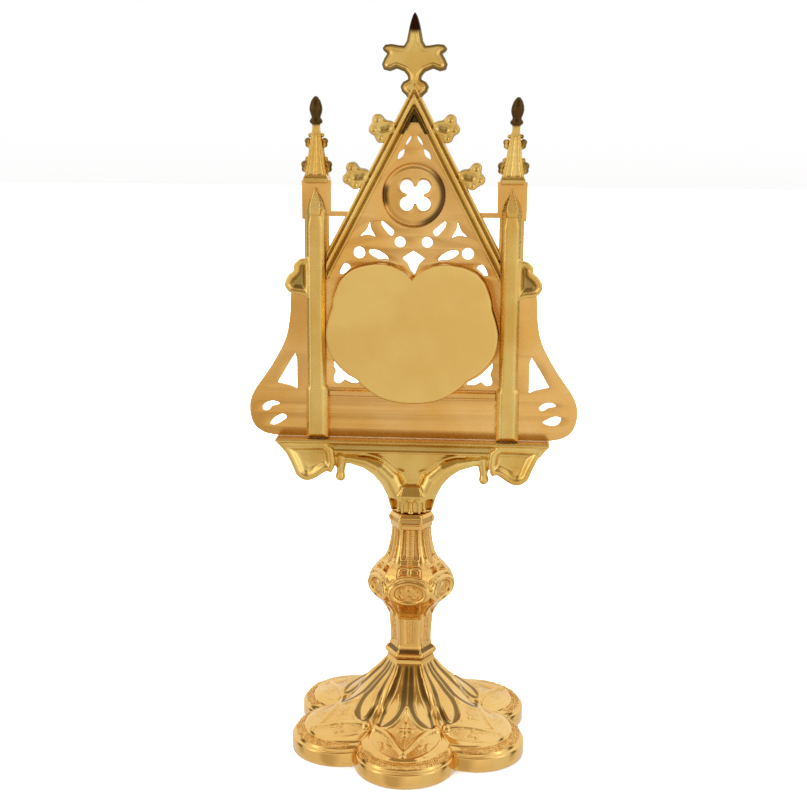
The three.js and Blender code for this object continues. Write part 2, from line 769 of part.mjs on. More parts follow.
// The capsule's rounded outline: two crown lobes, two side lobes and a lower one.
const capsuleLobes = [
  { x: 15.6, z: 202.4, rx: 19, rz: 14.6 },
  { x: -15.6, z: 202.4, rx: 19, rz: 14.6 },
  { x: 18, z: 185, rx: 19.3, rz: 21.4 },
  { x: -18, z: 185, rx: 19.3, rz: 21.4 },
  { x: 0, z: 176.4, rx: 27, rz: 20.8 },
].map((lobe) => ({ ...lobe, z: lobe.z - CAPSULE_CENTRE_Z }));
const FLANGE_GROWTH = 2;
const FLANGE_HALF_WIDTH = 37.1;
const CAPSULE_POINTS = 40;
const SIGHT_SHARE = 0.86;

function capsuleShape(grow, share = 1) {
  const points = lobedPoints(capsuleLobes, CAPSULE_POINTS, [0, 0], grow);
  return polygon(points.map(([x, z]) => [x * share, CAPSULE_CENTRE_Z + z * share]));
}

function capsuleCase() {
  const wall = slab(capsuleShape(-0.5), CASE_BACK, CASE_FRONT);
  const bore = slab(capsuleShape(-0.5 - CASE_WALL), CASE_BACK - 1, CASE_FRONT + 1);
  const sides = box(-FLANGE_HALF_WIDTH, FLANGE_HALF_WIDTH, -20, 20, 100, 300);
  const flange = bevelledSlab(capsuleShape(FLANGE_GROWTH), -4.4, CASTING_FLOOR + 3, 1.2).intersect(sides);
  const plateSlot = slab(capsuleShape(FLANGE_GROWTH + 3), -CASTING_FLOOR, 20);
  const tip = slab(polygon(kite), -20, -CASTING_FLOOR + 1);
  return without(wall.add(without(flange, [plateSlot, tip])), [bore]);
}

function lid() {
  const back = CASE_BACK - JOINT_GAP;
  return bevelledSlab(capsuleShape(0), back - LID_THICKNESS, back, 0.4);
}

function windowGlass() {
  const grow = -0.5 - CASE_WALL - JOINT_GAP;
  return slab(capsuleShape(grow), CASE_FRONT - GLASS_THICKNESS, CASE_FRONT);
}

function windowBezel() {
  const back = CASE_FRONT + JOINT_GAP;
  const ring = bevelledSlab(capsuleShape(0.4), back, back + 1.8, 0.6);
  const sight = slab(capsuleShape(0, SIGHT_SHARE), back - 1, back + 3);
  return ring.subtract(sight);
}

// ---------- finishes and the finished part ----------

function finish(colour, roughness, metalness = 1) {
  return new THREE.MeshStandardMaterial({ color: colour, roughness, metalness });
}

const castGold = finish('#d9a441', 0.34);
const paleGold = finish('#e6b064', 0.26);
const sheetGold = finish('#cfa05a', 0.3);
const lidGold = finish('#d4b060', 0.22);
const clearGlass = new THREE.MeshStandardMaterial({
  color: '#eef4f2',
  roughness: 0.05,
  metalness: 0,
  transparent: true,
  opacity: 0.25,
});

const reliquary = new THREE.Group();

function addPiece(name, body, material) {
  const mesh = new THREE.Mesh(geometryOf(body), material);
  mesh.name = name;
  reliquary.add(mesh);
}

addPiece('foot', foot(), paleGold);
addPiece('stem', stem(), paleGold);
addPiece('bracket', bracket(), castGold);
addPiece('tracery_plate', tracery(), sheetGold);
addPiece('right_back_buttress', backButtress(), castGold);
addPiece('left_back_buttress', otherSide(backButtress()), castGold);
addPiece('right_front_turret', frontTurret(), castGold);
addPiece('left_front_turret', otherSide(frontTurret()), castGold);
addPiece('gable', gable(), castGold);
addPiece('capsule_case', capsuleCase(), castGold);
addPiece('capsule_lid', lid(), lidGold);
addPiece('window_glass', windowGlass(), clearGlass);
addPiece('window_bezel', windowBezel(), castGold);

export default reliquary;
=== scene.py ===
"""Standing gothic reliquary in gold-plated cast brass.

Works in millimetres inside, metres in the meshes. +Z is up, -Y is the back with the capsule's lid,
+Y the front with its window.
"""

import math

import bmesh
import bpy
import numpy as np
from mathutils import Matrix, Vector


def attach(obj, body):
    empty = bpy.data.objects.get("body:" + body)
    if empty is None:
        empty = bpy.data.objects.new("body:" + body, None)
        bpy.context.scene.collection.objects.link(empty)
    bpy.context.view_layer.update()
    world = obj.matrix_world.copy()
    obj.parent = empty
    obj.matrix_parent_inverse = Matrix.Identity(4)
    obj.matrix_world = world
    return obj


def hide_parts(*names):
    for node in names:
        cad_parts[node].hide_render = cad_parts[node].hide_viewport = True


bl_info = {
    "name": "Gothic Reliquary",
    "version": (1, 0, 0),
    "blender": (4, 5, 0),
    "location": "3D View > Sidebar > Reliquary",
    "description": "Models a standing gothic reliquary on its hexafoil foot, with its studio floor and light",
    "category": "Object",
}

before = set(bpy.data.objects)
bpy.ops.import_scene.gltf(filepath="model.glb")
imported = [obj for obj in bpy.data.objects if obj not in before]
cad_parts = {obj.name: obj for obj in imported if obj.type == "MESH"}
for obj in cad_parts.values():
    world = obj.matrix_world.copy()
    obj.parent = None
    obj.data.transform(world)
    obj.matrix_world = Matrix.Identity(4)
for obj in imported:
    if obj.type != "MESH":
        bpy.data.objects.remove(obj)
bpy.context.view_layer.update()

MM = 0.001
SIDES = 6
SIXTH = math.pi / 3
COLUMN_X = 41.65


# ---------- distances: negative inside, positive outside ----------


def smooth(value, low, high):
    t = np.clip((value - low) / (high - low), 0.0, 1.0)
    return t * t * (3.0 - 2.0 * t)


def melt(a, b, blend=0.0):
    """The union of two distances, filleted where they meet."""
    if blend <= 0.0:
        return np.minimum(a, b)
    near = np.maximum(blend - np.abs(a - b), 0.0) / blend
    return np.minimum(a, b) - near * near * blend * 0.25


def meet(a, b, blend=0.0):
    """What two distances have in common, with its edge rounded."""
    return -melt(-a, -b, blend)


def within(points):
    """Distance to a closed outline of straight sides."""
    ring = np.asarray(points, float)

    def distance(x, z):
        nearest = np.full(np.broadcast(x, z).shape, 1e9)
        inside = np.zeros(nearest.shape, bool)
        for (ax, az), (bx, bz) in zip(ring, np.roll(ring, -1, 0)):
            ex, ez = bx - ax, bz - az
            t = np.clip(((x - ax) * ex + (z - az) * ez) / (ex * ex + ez * ez), 0.0, 1.0)
            nearest = np.minimum(nearest, (x - ax - t * ex) ** 2 + (z - az - t * ez) ** 2)
            if az != bz:
                inside ^= ((az > z) != (bz > z)) & (x < ex * (z - az) / ez + ax)
        return np.where(inside, -1.0, 1.0) * np.sqrt(nearest)

    return distance


def stroke(points):
    """Distance to a line of (x, z, half width) points."""

    def distance(x, z):
        best = 1e9
        for (ax, az, ar), (bx, bz, br) in zip(points, points[1:]):
            ex, ez = bx - ax, bz - az
            t = np.clip(((x - ax) * ex + (z - az) * ez) / (ex * ex + ez * ez), 0.0, 1.0)
            best = np.minimum(best, np.hypot(x - ax - t * ex, z - az - t * ez) - ar - (br - ar) * t)
        return best

    return distance


def discs(*places, blend=0.0):
    """Distance to round lobes at (x, z, radius), melted together."""

    def distance(x, z):
        best = 1e3
        for cx, cz, radius in places:
            best = melt(best, np.hypot(x - cx, z - cz) - radius, blend)
        return best

    return distance


def rod(points, deep=1.0):
    """Distance to a bent rod of (x, y, z, radius) points, its section stretched by deep along Y."""

    def distance(x, y, z):
        best = 1e9
        y = y / deep
        for (ax, ay, az, ar), (bx, by, bz, br) in zip(points, points[1:]):
            ex, ey, ez = bx - ax, (by - ay) / deep, bz - az
            length = ex * ex + ey * ey + ez * ez
            t = np.clip(((x - ax) * ex + (y - ay / deep) * ey + (z - az) * ez) / length, 0.0, 1.0)
            gap = np.sqrt((x - ax - t * ex) ** 2 + (y - ay / deep - t * ey) ** 2 + (z - az - t * ez) ** 2)
            best = np.minimum(best, gap - ar - (br - ar) * t)
        return best

    return distance


def ball(cx, cy, cz, rx, ry, rz):
    def distance(x, y, z):
        u, v, w = (x - cx) / rx, (y - cy) / ry, (z - cz) / rz
        reach = np.sqrt(u * u + v * v + w * w)
        slope = np.sqrt((u / rx) ** 2 + (v / ry) ** 2 + (w / rz) ** 2)
        return reach * (reach - 1.0) / np.maximum(slope, 1e-4)

    return distance


def bar(x0, x1, y0, y1, z0, z1, edge=0.4):
    def distance(x, y, z):
        u = np.abs(x - (x0 + x1) / 2) - (x1 - x0) / 2 + edge
        v = np.abs(y - (y0 + y1) / 2) - (y1 - y0) / 2 + edge
        w = np.abs(z - (z0 + z1) / 2) - (z1 - z0) / 2 + edge
        outside = np.sqrt(np.maximum(u, 0) ** 2 + np.maximum(v, 0) ** 2 + np.maximum(w, 0) ** 2)
        return outside + np.minimum(np.maximum(np.maximum(u, v), w), 0) - edge

    return distance


def cast(outline, back, front, edge=0.6, rim=0.0, hollow=0.0, both=False):
    """A flat casting between two depths with rounded edges, hollowed inside a rim on its back face or on both."""

    def distance(x, y, z):
        flat = outline(x, z)
        sunk = hollow * smooth(-flat, rim, rim + 1.3 * hollow + 0.3) if hollow else 0.0
        behind = back + sunk - y
        ahead = y - front + (sunk if both else 0.0)
        return meet(meet(flat, behind, edge), ahead, edge)

    return distance


def flowing(points, steps):
    """Points along a smooth curve through the given ones."""
    knots = np.asarray(points, float)
    ends = np.vstack([2 * knots[0] - knots[1], knots, 2 * knots[-1] - knots[-2]])
    out = []
    for i in range(len(knots) - 1):
        p0, p1, p2, p3 = ends[i : i + 4]
        for t in np.arange(steps) / steps:
            bend = (2 * p0 - 5 * p1 + 4 * p2 - p3) * t**2 + (3 * p1 - p0 - 3 * p2 + p3) * t**3
            out.append(0.5 * (2 * p1 + (p2 - p0) * t + bend))
    out.append(knots[-1])
    return np.array(out)


def mirrored(half):
    """A closed outline from its right half, listed from top to bottom."""
    half = [tuple(p) for p in half]
    return half + [(-x, z) for x, z in reversed(half) if x > 1e-6]


# ---------- wax: a grid of distances that becomes a mesh ----------


class Wax:
    """A lump that is added to and cut from, then skinned."""

    def __init__(self, low, high, step):
        self.step = step
        self.low = np.array(low, float) - 2.5 * step
        counts = np.ceil((np.array(high, float) - self.low) / step).astype(int) + 3
        self.axes = [self.low[i] + step * np.arange(counts[i]) for i in range(3)]
        self.field = np.full(counts, 50.0, np.float32)

    def _shape(self, distance, low, high, blend, change):
        margin = blend + 2.5 * self.step
        window = []
        for axis, lo, hi in zip(self.axes, low, high):
            window.append(slice(np.searchsorted(axis, lo - margin), np.searchsorted(axis, hi + margin)))
        window = tuple(window)
        x, y, z = (axis[part] for axis, part in zip(self.axes, window))
        if not (len(x) and len(y) and len(z)):
            raise ValueError("a shape lies outside its lump of wax")
        value = distance(x[:, None, None], y[None, :, None], z[None, None, :])
        self.field[window] = change(self.field[window], value, blend)

    def _sides(self, distance, low, high, pair):
        yield distance, low, high
        if pair:
            yield lambda x, y, z: distance(-x, y, z), (-high[0], low[1], low[2]), (-low[0], high[1], high[2])

    def add(self, distance, low, high, blend=0.0, pair=False):
        for side, lo, hi in self._sides(distance, low, high, pair):
            self._shape(side, lo, hi, blend, melt)

    def cut(self, distance, low, high, blend=0.0, pair=False):
        for side, lo, hi in self._sides(distance, low, high, pair):
            self._shape(side, lo, hi, blend, lambda a, b, k: meet(a, -b, k))

    def skin(self):
        """Vertices and four-sided faces of the surface: one vertex in each cell that it crosses."""
        field = self.field
        cells = np.array(field.shape) - 1
        flat_cell = lambda index: (index[0] * cells[1] + index[1]) * cells[2] + index[2]
        total = np.zeros((int(np.prod(cells)), 3), np.float32)
        count = np.zeros(len(total), np.int32)
        edges = []
        for axis in range(3):
            here = [slice(None)] * 3
            there = [slice(None)] * 3
            here[axis] = slice(0, -1)
            there[axis] = slice(1, None)
            a, b = field[tuple(here)], field[tuple(there)]
            crossing = np.array(np.nonzero((a < 0) != (b < 0)))
            others = [i for i in range(3) if i != axis]
            keep = np.all([(crossing[i] > 0) & (crossing[i] < cells[i]) for i in others], axis=0)
            crossing = crossing[:, keep]
            va, vb = a[tuple(crossing)], b[tuple(crossing)]
            point = crossing.T.astype(np.float32)
            point[:, axis] += va / (va - vb)
            around = []
            for back_1, back_2 in ((1, 1), (0, 1), (0, 0), (1, 0)):
                cell = crossing.copy()
                cell[others[0]] -= back_1
                cell[others[1]] -= back_2
                cell = flat_cell(cell)
                around.append(cell)
                np.add.at(total, cell, point)
                np.add.at(count, cell, 1)
            quads = np.stack(around, 1)
            outward = (va < 0) if axis != 1 else (va >= 0)
            quads[~outward] = quads[~outward, ::-1]
            edges.append(quads)
        used = np.nonzero(count)[0]
        number = np.zeros(len(total), np.int64)
        number[used] = np.arange(len(used))
        vertices = self.low + self.step * (total[used] / count[used, None])
        return vertices, number[np.vstack(edges)]


# ---------- meshes ----------


def mesh_object(name, vertices, faces, sharp=None):
    """An object from millimetre vertices, with smooth faces."""
    mesh = bpy.data.meshes.new(name)
    mesh.from_pydata((np.asarray(vertices, float) * MM).tolist(), [], [list(map(int, f)) for f in faces])
    mesh.validate()
    mesh.shade_smooth()
    if sharp is not None:
        mesh.set_sharp_from_angle(angle=math.radians(sharp))
    piece = bpy.data.objects.new(name, mesh)
    bpy.context.scene.collection.objects.link(piece)
    return piece


def wax_object(name, wax, flip_x=False):
    vertices, faces = wax.skin()
    if flip_x:
        vertices = vertices * (-1, 1, 1)
        faces = faces[:, ::-1]
    return mesh_object(name, vertices, faces)


def ring_faces(rows, columns, loop=False):
    """Faces between rows of a ring-shaped grid; loop joins the last row to the first."""
    i = np.arange(columns)
    j = np.roll(i, -1)
    faces = []
    for row in range(rows if loop else rows - 1):
        a, b = row * columns, ((row + 1) % rows) * columns
        faces.append(np.stack([a + i, a + j, b + j, b + i], 1))
    return np.vstack(faces)


def tidy_mesh(piece, sharp=35.0):
    """Joins doubles, turns faces outwards and marks the sharp edges."""
    work = bmesh.new()
    work.from_mesh(piece.data)
    bmesh.ops.remove_doubles(work, verts=work.verts, dist=2e-6)
    bmesh.ops.recalc_face_normals(work, faces=work.faces)
    work.to_mesh(piece.data)
    work.free()
    piece.data.shade_smooth()
    piece.data.set_sharp_from_angle(angle=math.radians(sharp))
    return piece


def fit(piece, material, slot, *nodes):
    """Gives a finished piece its material and its place in the frame."""
    piece.data.materials.clear()
    piece.data.materials.append(material)
    for node in nodes:
        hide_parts(node)
    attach(piece, "root")
    return piece


def vertex_spots(piece):
    """The piece's vertices in millimetres."""
    spots = np.zeros(len(piece.data.vertices) * 3, np.float32)
    piece.data.vertices.foreach_get("co", spots)
    return spots.reshape(-1, 3) / MM


def mark(piece, name, values):
    """Stores one number for each vertex, for the materials to read."""
    marks = piece.data.attributes.get(name) or piece.data.attributes.new(name, "FLOAT", "POINT")
    marks.data.foreach_set("value", np.clip(values, 0, 1).astype(np.float32))


def hollows(piece, gain=4.0, least=0.03, rounds=3):
    """How much painted shade each vertex gets: more in the hollows, none on the edges that stand out."""
    mesh = piece.data
    count = len(mesh.vertices)
    spots = vertex_spots(piece)
    normals = np.zeros(count * 3, np.float32)
    mesh.vertex_normals.foreach_get("vector", normals)
    normals = normals.reshape(-1, 3)
    ends = np.zeros(len(mesh.edges) * 2, np.int32)
    mesh.edges.foreach_get("vertices", ends)
    a, b = ends[::2], ends[1::2]
    run = spots[b] - spots[a]
    run /= np.maximum(np.linalg.norm(run, axis=1), 1e-6)[:, None]
    sums = lambda at_a, at_b: np.bincount(a, at_a, count) + np.bincount(b, at_b, count)
    share = np.maximum(sums(np.ones(len(a)), np.ones(len(b))), 1)
    hollow = sums((normals[a] * run).sum(1), -(normals[b] * run).sum(1)) / share
    for _ in range(rounds):
        hollow = sums(hollow[b], hollow[a]) / share
    return np.clip((hollow - least) * gain, 0, 1)


# ---------- beading: grains and reeds laid along a line ----------


def beading_tree():
    """Grains of one size laid along every line of a piece, repeated round the axis."""
    tree = bpy.data.node_groups.new("beading", "GeometryNodeTree")
    for name, kind, default in (
        ("Lines", "NodeSocketGeometry", None),
        ("Spacing", "NodeSocketFloat", 0.001),
        ("Grain Size", "NodeSocketVector", (0.0005, 0.0005, 0.0005)),
        ("Jitter", "NodeSocketFloat", 0.0),
        ("Turns", "NodeSocketInt", 6),
        ("Seed", "NodeSocketInt", 1),
        ("Finish", "NodeSocketMaterial", None),
    ):
        socket = tree.interface.new_socket(name, in_out="INPUT", socket_type=kind)
        if default is not None:
            socket.default_value = default
    tree.interface.new_socket("Grains", in_out="OUTPUT", socket_type="NodeSocketGeometry")
    given = node(tree, "NodeGroupInput").outputs
    path = node(tree, "GeometryNodeMeshToCurve", {"Mesh": given["Lines"]})
    places = node(tree, "GeometryNodeCurveToPoints", {"Curve": path.outputs["Curve"], "Length": given["Spacing"]},
        mode="LENGTH")
    back = node(tree, "ShaderNodeVectorMath", {0: (-1, -1, -1), "Scale": given["Jitter"]}, operation="SCALE")
    forth = node(tree, "ShaderNodeVectorMath", {0: (1, 1, 1), "Scale": given["Jitter"]}, operation="SCALE")
    shake = node(tree, "FunctionNodeRandomValue", {"Seed": given["Seed"]}, data_type="FLOAT_VECTOR")
    tree.links.new(back.outputs[0], shake.inputs["Min"])
    tree.links.new(forth.outputs[0], shake.inputs["Max"])
    shaken = node(tree, "GeometryNodeSetPosition", {"Geometry": places.outputs["Points"],
        "Offset": shake.outputs["Value"]})
    ball_mesh = node(tree, "GeometryNodeMeshIcoSphere", {"Radius": 1.0, "Subdivisions": 1})
    grain = node(tree, "GeometryNodeTransform", {"Geometry": ball_mesh.outputs["Mesh"], "Scale": given["Grain Size"]})
    row = node(tree, "GeometryNodeInstanceOnPoints", {"Points": shaken.outputs["Geometry"],
        "Instance": grain.outputs["Geometry"]})
    side = node(tree, "GeometryNodePoints", {"Count": given["Turns"]})
    part = node(tree, "ShaderNodeMath", {0: 2 * math.pi, 1: given["Turns"]}, operation="DIVIDE")
    turn = node(tree, "ShaderNodeMath", {0: node(tree, "GeometryNodeInputIndex").outputs[0], 1: part.outputs[0]},
        operation="MULTIPLY")
    spin = node(tree, "ShaderNodeCombineXYZ", {"Z": turn.outputs[0]})
    round_axis = node(tree, "GeometryNodeInstanceOnPoints", {"Points": side.outputs[0],
        "Instance": row.outputs["Instances"], "Rotation": spin.outputs[0]})
    solid = node(tree, "GeometryNodeRealizeInstances", {"Geometry": round_axis.outputs["Instances"]})
    plated = node(tree, "GeometryNodeSetMaterial", {"Geometry": solid.outputs["Geometry"],
        "Material": given["Finish"]})
    node(tree, "NodeGroupOutput", {"Grains": plated.outputs["Geometry"]})
    return tree


def beading(name, lines, spacing, size, finish, jitter=0.0, turns=6, seed=1):
    """A mesh of grains along millimetre lines, each a list of (x, y, z)."""
    tree = bpy.data.node_groups.get("beading") or beading_tree()
    vertices, edges = [], []
    for line in lines:
        start = len(vertices)
        vertices += [tuple(float(v) * MM for v in spot) for spot in line]
        edges += [(i, i + 1) for i in range(start, len(vertices) - 1)]
    path = bpy.data.meshes.new(name + "_lines")
    path.from_pydata(vertices, edges, [])
    holder = bpy.data.objects.new(name, path)
    bpy.context.scene.collection.objects.link(holder)
    modifier = holder.modifiers.new("beading", "NODES")
    modifier.node_group = tree
    values = {"Spacing": spacing * MM, "Grain Size": tuple(s * MM for s in size), "Jitter": jitter * MM,
        "Turns": turns, "Seed": seed, "Finish": finish}
    for item in tree.interface.items_tree:
        if item.in_out == "INPUT" and item.name in values:
            modifier[item.identifier] = values[item.name]
    bpy.context.view_layer.update()
    mesh = bpy.data.meshes.new_from_object(holder.evaluated_get(bpy.context.evaluated_depsgraph_get()))
    holder.modifiers.remove(modifier)
    bpy.data.objects.remove(holder)
    mesh.name = name
    made = bpy.data.objects.new(name, mesh)
    bpy.context.scene.collection.objects.link(made)
    mesh.shade_smooth()
    return made


# ---------- finishes ----------


def linear(hex_colour):
    """A linear colour from an sRGB hex value."""
    channels = [int(hex_colour[i : i + 2], 16) / 255 for i in (1, 3, 5)]
    return tuple(c / 12.92 if c <= 0.04045 else ((c + 0.055) / 1.055) ** 2.4 for c in channels) + (1.0,)


def per_metre(millimetres):
    """The texture scale that repeats about once in this many millimetres."""
    return 1000.0 / millimetres


def node(tree, kind, inputs=None, **settings):
    """Adds a node, sets it, and fills its inputs with values or links."""
    made = tree.nodes.new(kind)
    for name, value in settings.items():
        setattr(made, name, value)
    for key, value in (inputs or {}).items():
        if isinstance(value, bpy.types.NodeSocket):
            tree.links.new(value, made.inputs[key])
        else:
            made.inputs[key].default_value = value
    return made


def blank_material(name):
    material = bpy.data.materials.new(name)
    material.use_nodes = True
    material.node_tree.nodes.clear()
    return material, material.node_tree


def gold(name, light, deep, roughness, polish, grain_mm, grain_depth, wave_depth, ground=0.0, brushed=None):
    """Gold plate over brass: two shades that drift into each other, a fine grain and a slow wave.

    The grain shows by "ground" everywhere and fully where the "grain" attribute says. The shade attribute paints
    shade in the hollows and dark reflections into the colour, and dulls the gloss. brushed stretches the grain.
    """
    look = bpy.context.scene.reliquary_finish
    material, tree = blank_material(name)
    place = node(tree, "ShaderNodeTexCoord").outputs["Object"]
    drift = node(tree, "ShaderNodeTexNoise", {"Vector": place, "Scale": per_metre(26), "Detail": 3.0})
    shade = node(tree, "ShaderNodeValToRGB", {"Fac": drift.outputs["Fac"]})
    shade.color_ramp.elements[0].position = 0.38
    shade.color_ramp.elements[0].color = deep
    shade.color_ramp.elements[1].position = 0.62
    shade.color_ramp.elements[1].color = light
    # Painted shade and dark reflections: this attribute mixes the shade colour into the metal's colour.
    painted_shade = node(tree, "ShaderNodeAttribute", attribute_name="painted_shade").outputs["Fac"]
    colour = node(tree, "ShaderNodeMixRGB", {"Fac": painted_shade, "Color1": shade.outputs["Color"],
        "Color2": look.painted_shade})
    along = place
    if brushed:
        along = node(tree, "ShaderNodeMapping", {"Vector": place, "Scale": brushed}).outputs["Vector"]
    grain = node(tree, "ShaderNodeTexNoise", {"Vector": along, "Scale": per_metre(grain_mm), "Detail": 4.0,
        "Roughness": 0.62})
    wave = node(tree, "ShaderNodeTexNoise", {"Vector": place, "Scale": per_metre(9), "Detail": 1.0})
    mask = node(tree, "ShaderNodeAttribute", attribute_name="grain").outputs["Fac"]
    most = node(tree, "ShaderNodeMath", {0: mask, 1: ground}, operation="MAXIMUM")
    depth = node(tree, "ShaderNodeMath", {0: grain.outputs["Fac"], 1: most.outputs[0]}, operation="MULTIPLY")
    wide = node(tree, "ShaderNodeBump", {"Height": wave.outputs["Fac"], "Strength": 1.0, "Distance": wave_depth * MM})
    fine = node(tree, "ShaderNodeBump", {"Height": depth.outputs[0], "Strength": 1.0, "Distance": grain_depth * MM,
        "Normal": wide.outputs[0]})
    gloss = node(
        tree,
        "ShaderNodeMapRange",
        {"Value": grain.outputs["Fac"], "From Min": 0.3, "From Max": 0.7, "To Min": roughness - polish,
            "To Max": roughness + polish},
    )
    dulled = node(tree, "ShaderNodeMath", {0: painted_shade, 1: 0.15, 2: gloss.outputs[0]}, operation="MULTIPLY_ADD")
    shader = node(
        tree,
        "ShaderNodeBsdfPrincipled",
        {"Base Color": colour.outputs[0], "Metallic": 1.0, "Roughness": dulled.outputs[0], "Normal": fine.outputs[0]},
    )
    node(tree, "ShaderNodeOutputMaterial", {"Surface": shader.outputs[0]})
    return material


def polished_cast_gold():
    """Cast brass, buffed and gold plated: pale and mirror-like, its sunk grounds punched with a fine grain."""
    look = bpy.context.scene.reliquary_finish
    return gold("polished_cast_gold", look.pale, look.pale_deep, 0.15, 0.04, 0.8, 0.22, 0.06)


def sand_cast_gold():
    """Cast brass plated as it left the sand, only bobbed: light yellow with a fine sandy grain."""
    look = bpy.context.scene.reliquary_finish
    return gold("sand_cast_gold", look.cast, look.cast_deep, 0.25, 0.06, 0.75, 0.09, 0.12, ground=0.45)


def satin_sheet_gold():
    """Sawn brass sheet, rubbed down before plating: a warm satin with faint clouds and lines."""
    look = bpy.context.scene.reliquary_finish
    return gold("satin_sheet_gold", look.sheet, look.sheet_deep, 0.27, 0.04, 0.7, 0.03, 0.02, ground=0.12,
        brushed=(0.35, 1.0, 1.0))


def satin_lid_gold():
    """Sheet lid, satin finished and plated: an even soft sheen that fades from edge to edge."""
    look = bpy.context.scene.reliquary_finish
    return gold("satin_lid_gold", look.lid, look.lid_deep, 0.3, 0.03, 0.8, 0.02, 0.06, ground=0.15,
        brushed=(0.2, 1.0, 1.4))


def clear_flat_glass():
    """Thin flat window glass: clear, with a hard reflection."""
    material, tree = blank_material("clear_flat_glass")
    shader = node(
        tree,
        "ShaderNodeBsdfPrincipled",
        {"Base Color": (1, 1, 1, 1), "Roughness": 0.02, "IOR": 1.45, "Transmission Weight": 1.0},
    )
    node(tree, "ShaderNodeOutputMaterial", {"Surface": shader.outputs[0]})
    return material


FINISHES = {
    "pale_gold": polished_cast_gold,
    "cast_gold": sand_cast_gold,
    "sheet_gold": satin_sheet_gold,
    "lid_gold": satin_lid_gold,
    "clear_glass": clear_flat_glass,
}
MADE_FINISHES = {}


def material_for(slot):
    if slot not in MADE_FINISHES:
        MADE_FINISHES[slot] = FINISHES[slot]()
    return MADE_FINISHES[slot]


# ---------- foot ----------

LOBE_RING = 34.6
LOBE_RADIUS = 22.1
FOOT_REACH = LOBE_RING + LOBE_RADIUS


def lobe_place(x, y):
    """Distance across from the middle of the nearest lobe, and distance out from the axis along it."""
    turn = np.arctan2(y, x) + math.pi / 2
    bearing = turn - SIXTH * np.round(turn / SIXTH)
    reach = np.hypot(x, y)
    return np.abs(reach * np.sin(bearing)), reach * np.cos(bearing)


def foot_outline(bearing, radius):
    """Reach at a bearing as a share of the lobe's own: a hexagon at the neck, six round lobes further out."""
    across = LOBE_RING * np.sin(bearing)
    lobed = (LOBE_RING * np.cos(bearing) + np.sqrt(LOBE_RADIUS**2 - across**2)) / FOOT_REACH
    hexagon = 1 / np.cos(bearing)
    return hexagon + (lobed - hexagon) * smooth(radius, 13.0, 34.0)


def ridge(distance, half_width, height):
    """Height of a half-round bead whose middle line is at distance nought."""
    return height * np.sqrt(np.clip(1 - (distance / half_width) ** 2, 0, 1))


def foot_relief(a, o):
    """Height of the chased ornament of one lobe over its smooth ground, how grainy it is and how much painted shade
    its sunk fan gets.
    """
    frame_line = flowing([(5.2, 9.2), (6.3, 12), (8.0, 15.6), (9.9, 19.4), (11.6, 23.2), (13.4, 27.6)], 4)
    spoon_in = flowing([(1.7, 9.2), (2.2, 12), (2.6, 16), (3.0, 20), (3.0, 22.6), (4.1, 25.4), (6.6, 27.8),
        (10.4, 29.2)], 4)
    spoon_out = flowing([(3.0, 9.2), (3.9, 12), (5.1, 16), (6.6, 19.4), (8.4, 22.0), (9.6, 24.6), (10.5, 27),
        (10.9, 29.0)], 4)
    chevron = flowing([(0, 23.6), (1.3, 26.0), (3.0, 28.6), (5.6, 30.9), (8.6, 31.3), (11.4, 30.0), (13.4, 28.2)], 4)
    waist = flowing([(13.6, 28.6), (10.6, 31.8), (7.6, 35.0), (5.0, 38.2), (2.6, 42.2), (0.0, 46.0)], 4)
    rim = flowing([(14.4, 28.8), (15.4, 33.2), (14.4, 38), (12, 42.6), (8.8, 46.6), (4.6, 49.6), (0, 50.8)], 4)
    fan = within([(-0.3, 8.8), (4.9, 8.8), *frame_line, *chevron[::-1], (-0.3, 23.6)])(a, o)
    spoon = within([*spoon_out, *spoon_in[::-1]])(a, o)
    kite = within([*chevron, *waist, (-0.3, 46.0), (-0.3, 23.6)])(a, o)
    medal = within([*waist, *rim[::-1]])(a, o)
    height = -1.25 * smooth(-fan, 0.0, 0.75)
    # Each spoon leaf stands in the fan: a rib that widens to a dished bowl.
    bowl = smooth(o, 17.5, 21.0)
    leaf = 1.35 * smooth(-spoon, -0.1, 0.55) - 0.5 * bowl * smooth(-spoon, 0.6, 1.9)
    height = height + leaf * smooth(-fan, -0.2, 0.4)
    height = height - 0.45 * smooth(-kite, 0.3, 1.3) - 0.35 * smooth(-medal, 0.3, 1.2)

    def bead(points, half_width, rise):
        nonlocal height
        height = np.maximum(height, ridge(stroke([(u, v, 0.0) for u, v in points])(a, o), half_width, rise))

    bead(frame_line, 0.6, 0.35)
    bead(chevron, 0.75, 0.55)
    bead(waist, 1.15, 0.85)
    bead(rim, 0.6, 0.35)
    for u, v, radius, rise in ((13.7, 28.3, 1.9, 1.3), (0, 48.4, 1.2, 0.9)):
        knob = np.sqrt(np.clip(1 - ((a - u) ** 2 + (o - v) ** 2) / radius**2, 0, 1))
        height = np.maximum(height, rise * knob)
    for u, v, size in ((8.8, 40.4, 1.15), (0, 33.6, 1.25)):
        du, dv = a - u, o - v
        turn = np.arctan2(dv, du) + (0.6 if u else 0.0)
        petals = size * (1.9 + 0.95 * np.cos(4 * turn)) - np.hypot(du, dv)
        height = height + 0.5 * smooth(petals, -0.5, 0.7) - 0.35 * smooth(0.7 * size - np.hypot(du, dv), -0.3, 0.3)
    grain = np.maximum(smooth(-kite, 0.3, 1.2), 0.8 * smooth(-medal, 0.3, 1.2))
    # Painted shade: the sunk fan is darkened, except on the spoon leaves.
    fan_shade = smooth(-fan, 0.3, 0.9) * (1 - smooth(-spoon, -0.5, 0.1))
    return height, grain, fan_shade


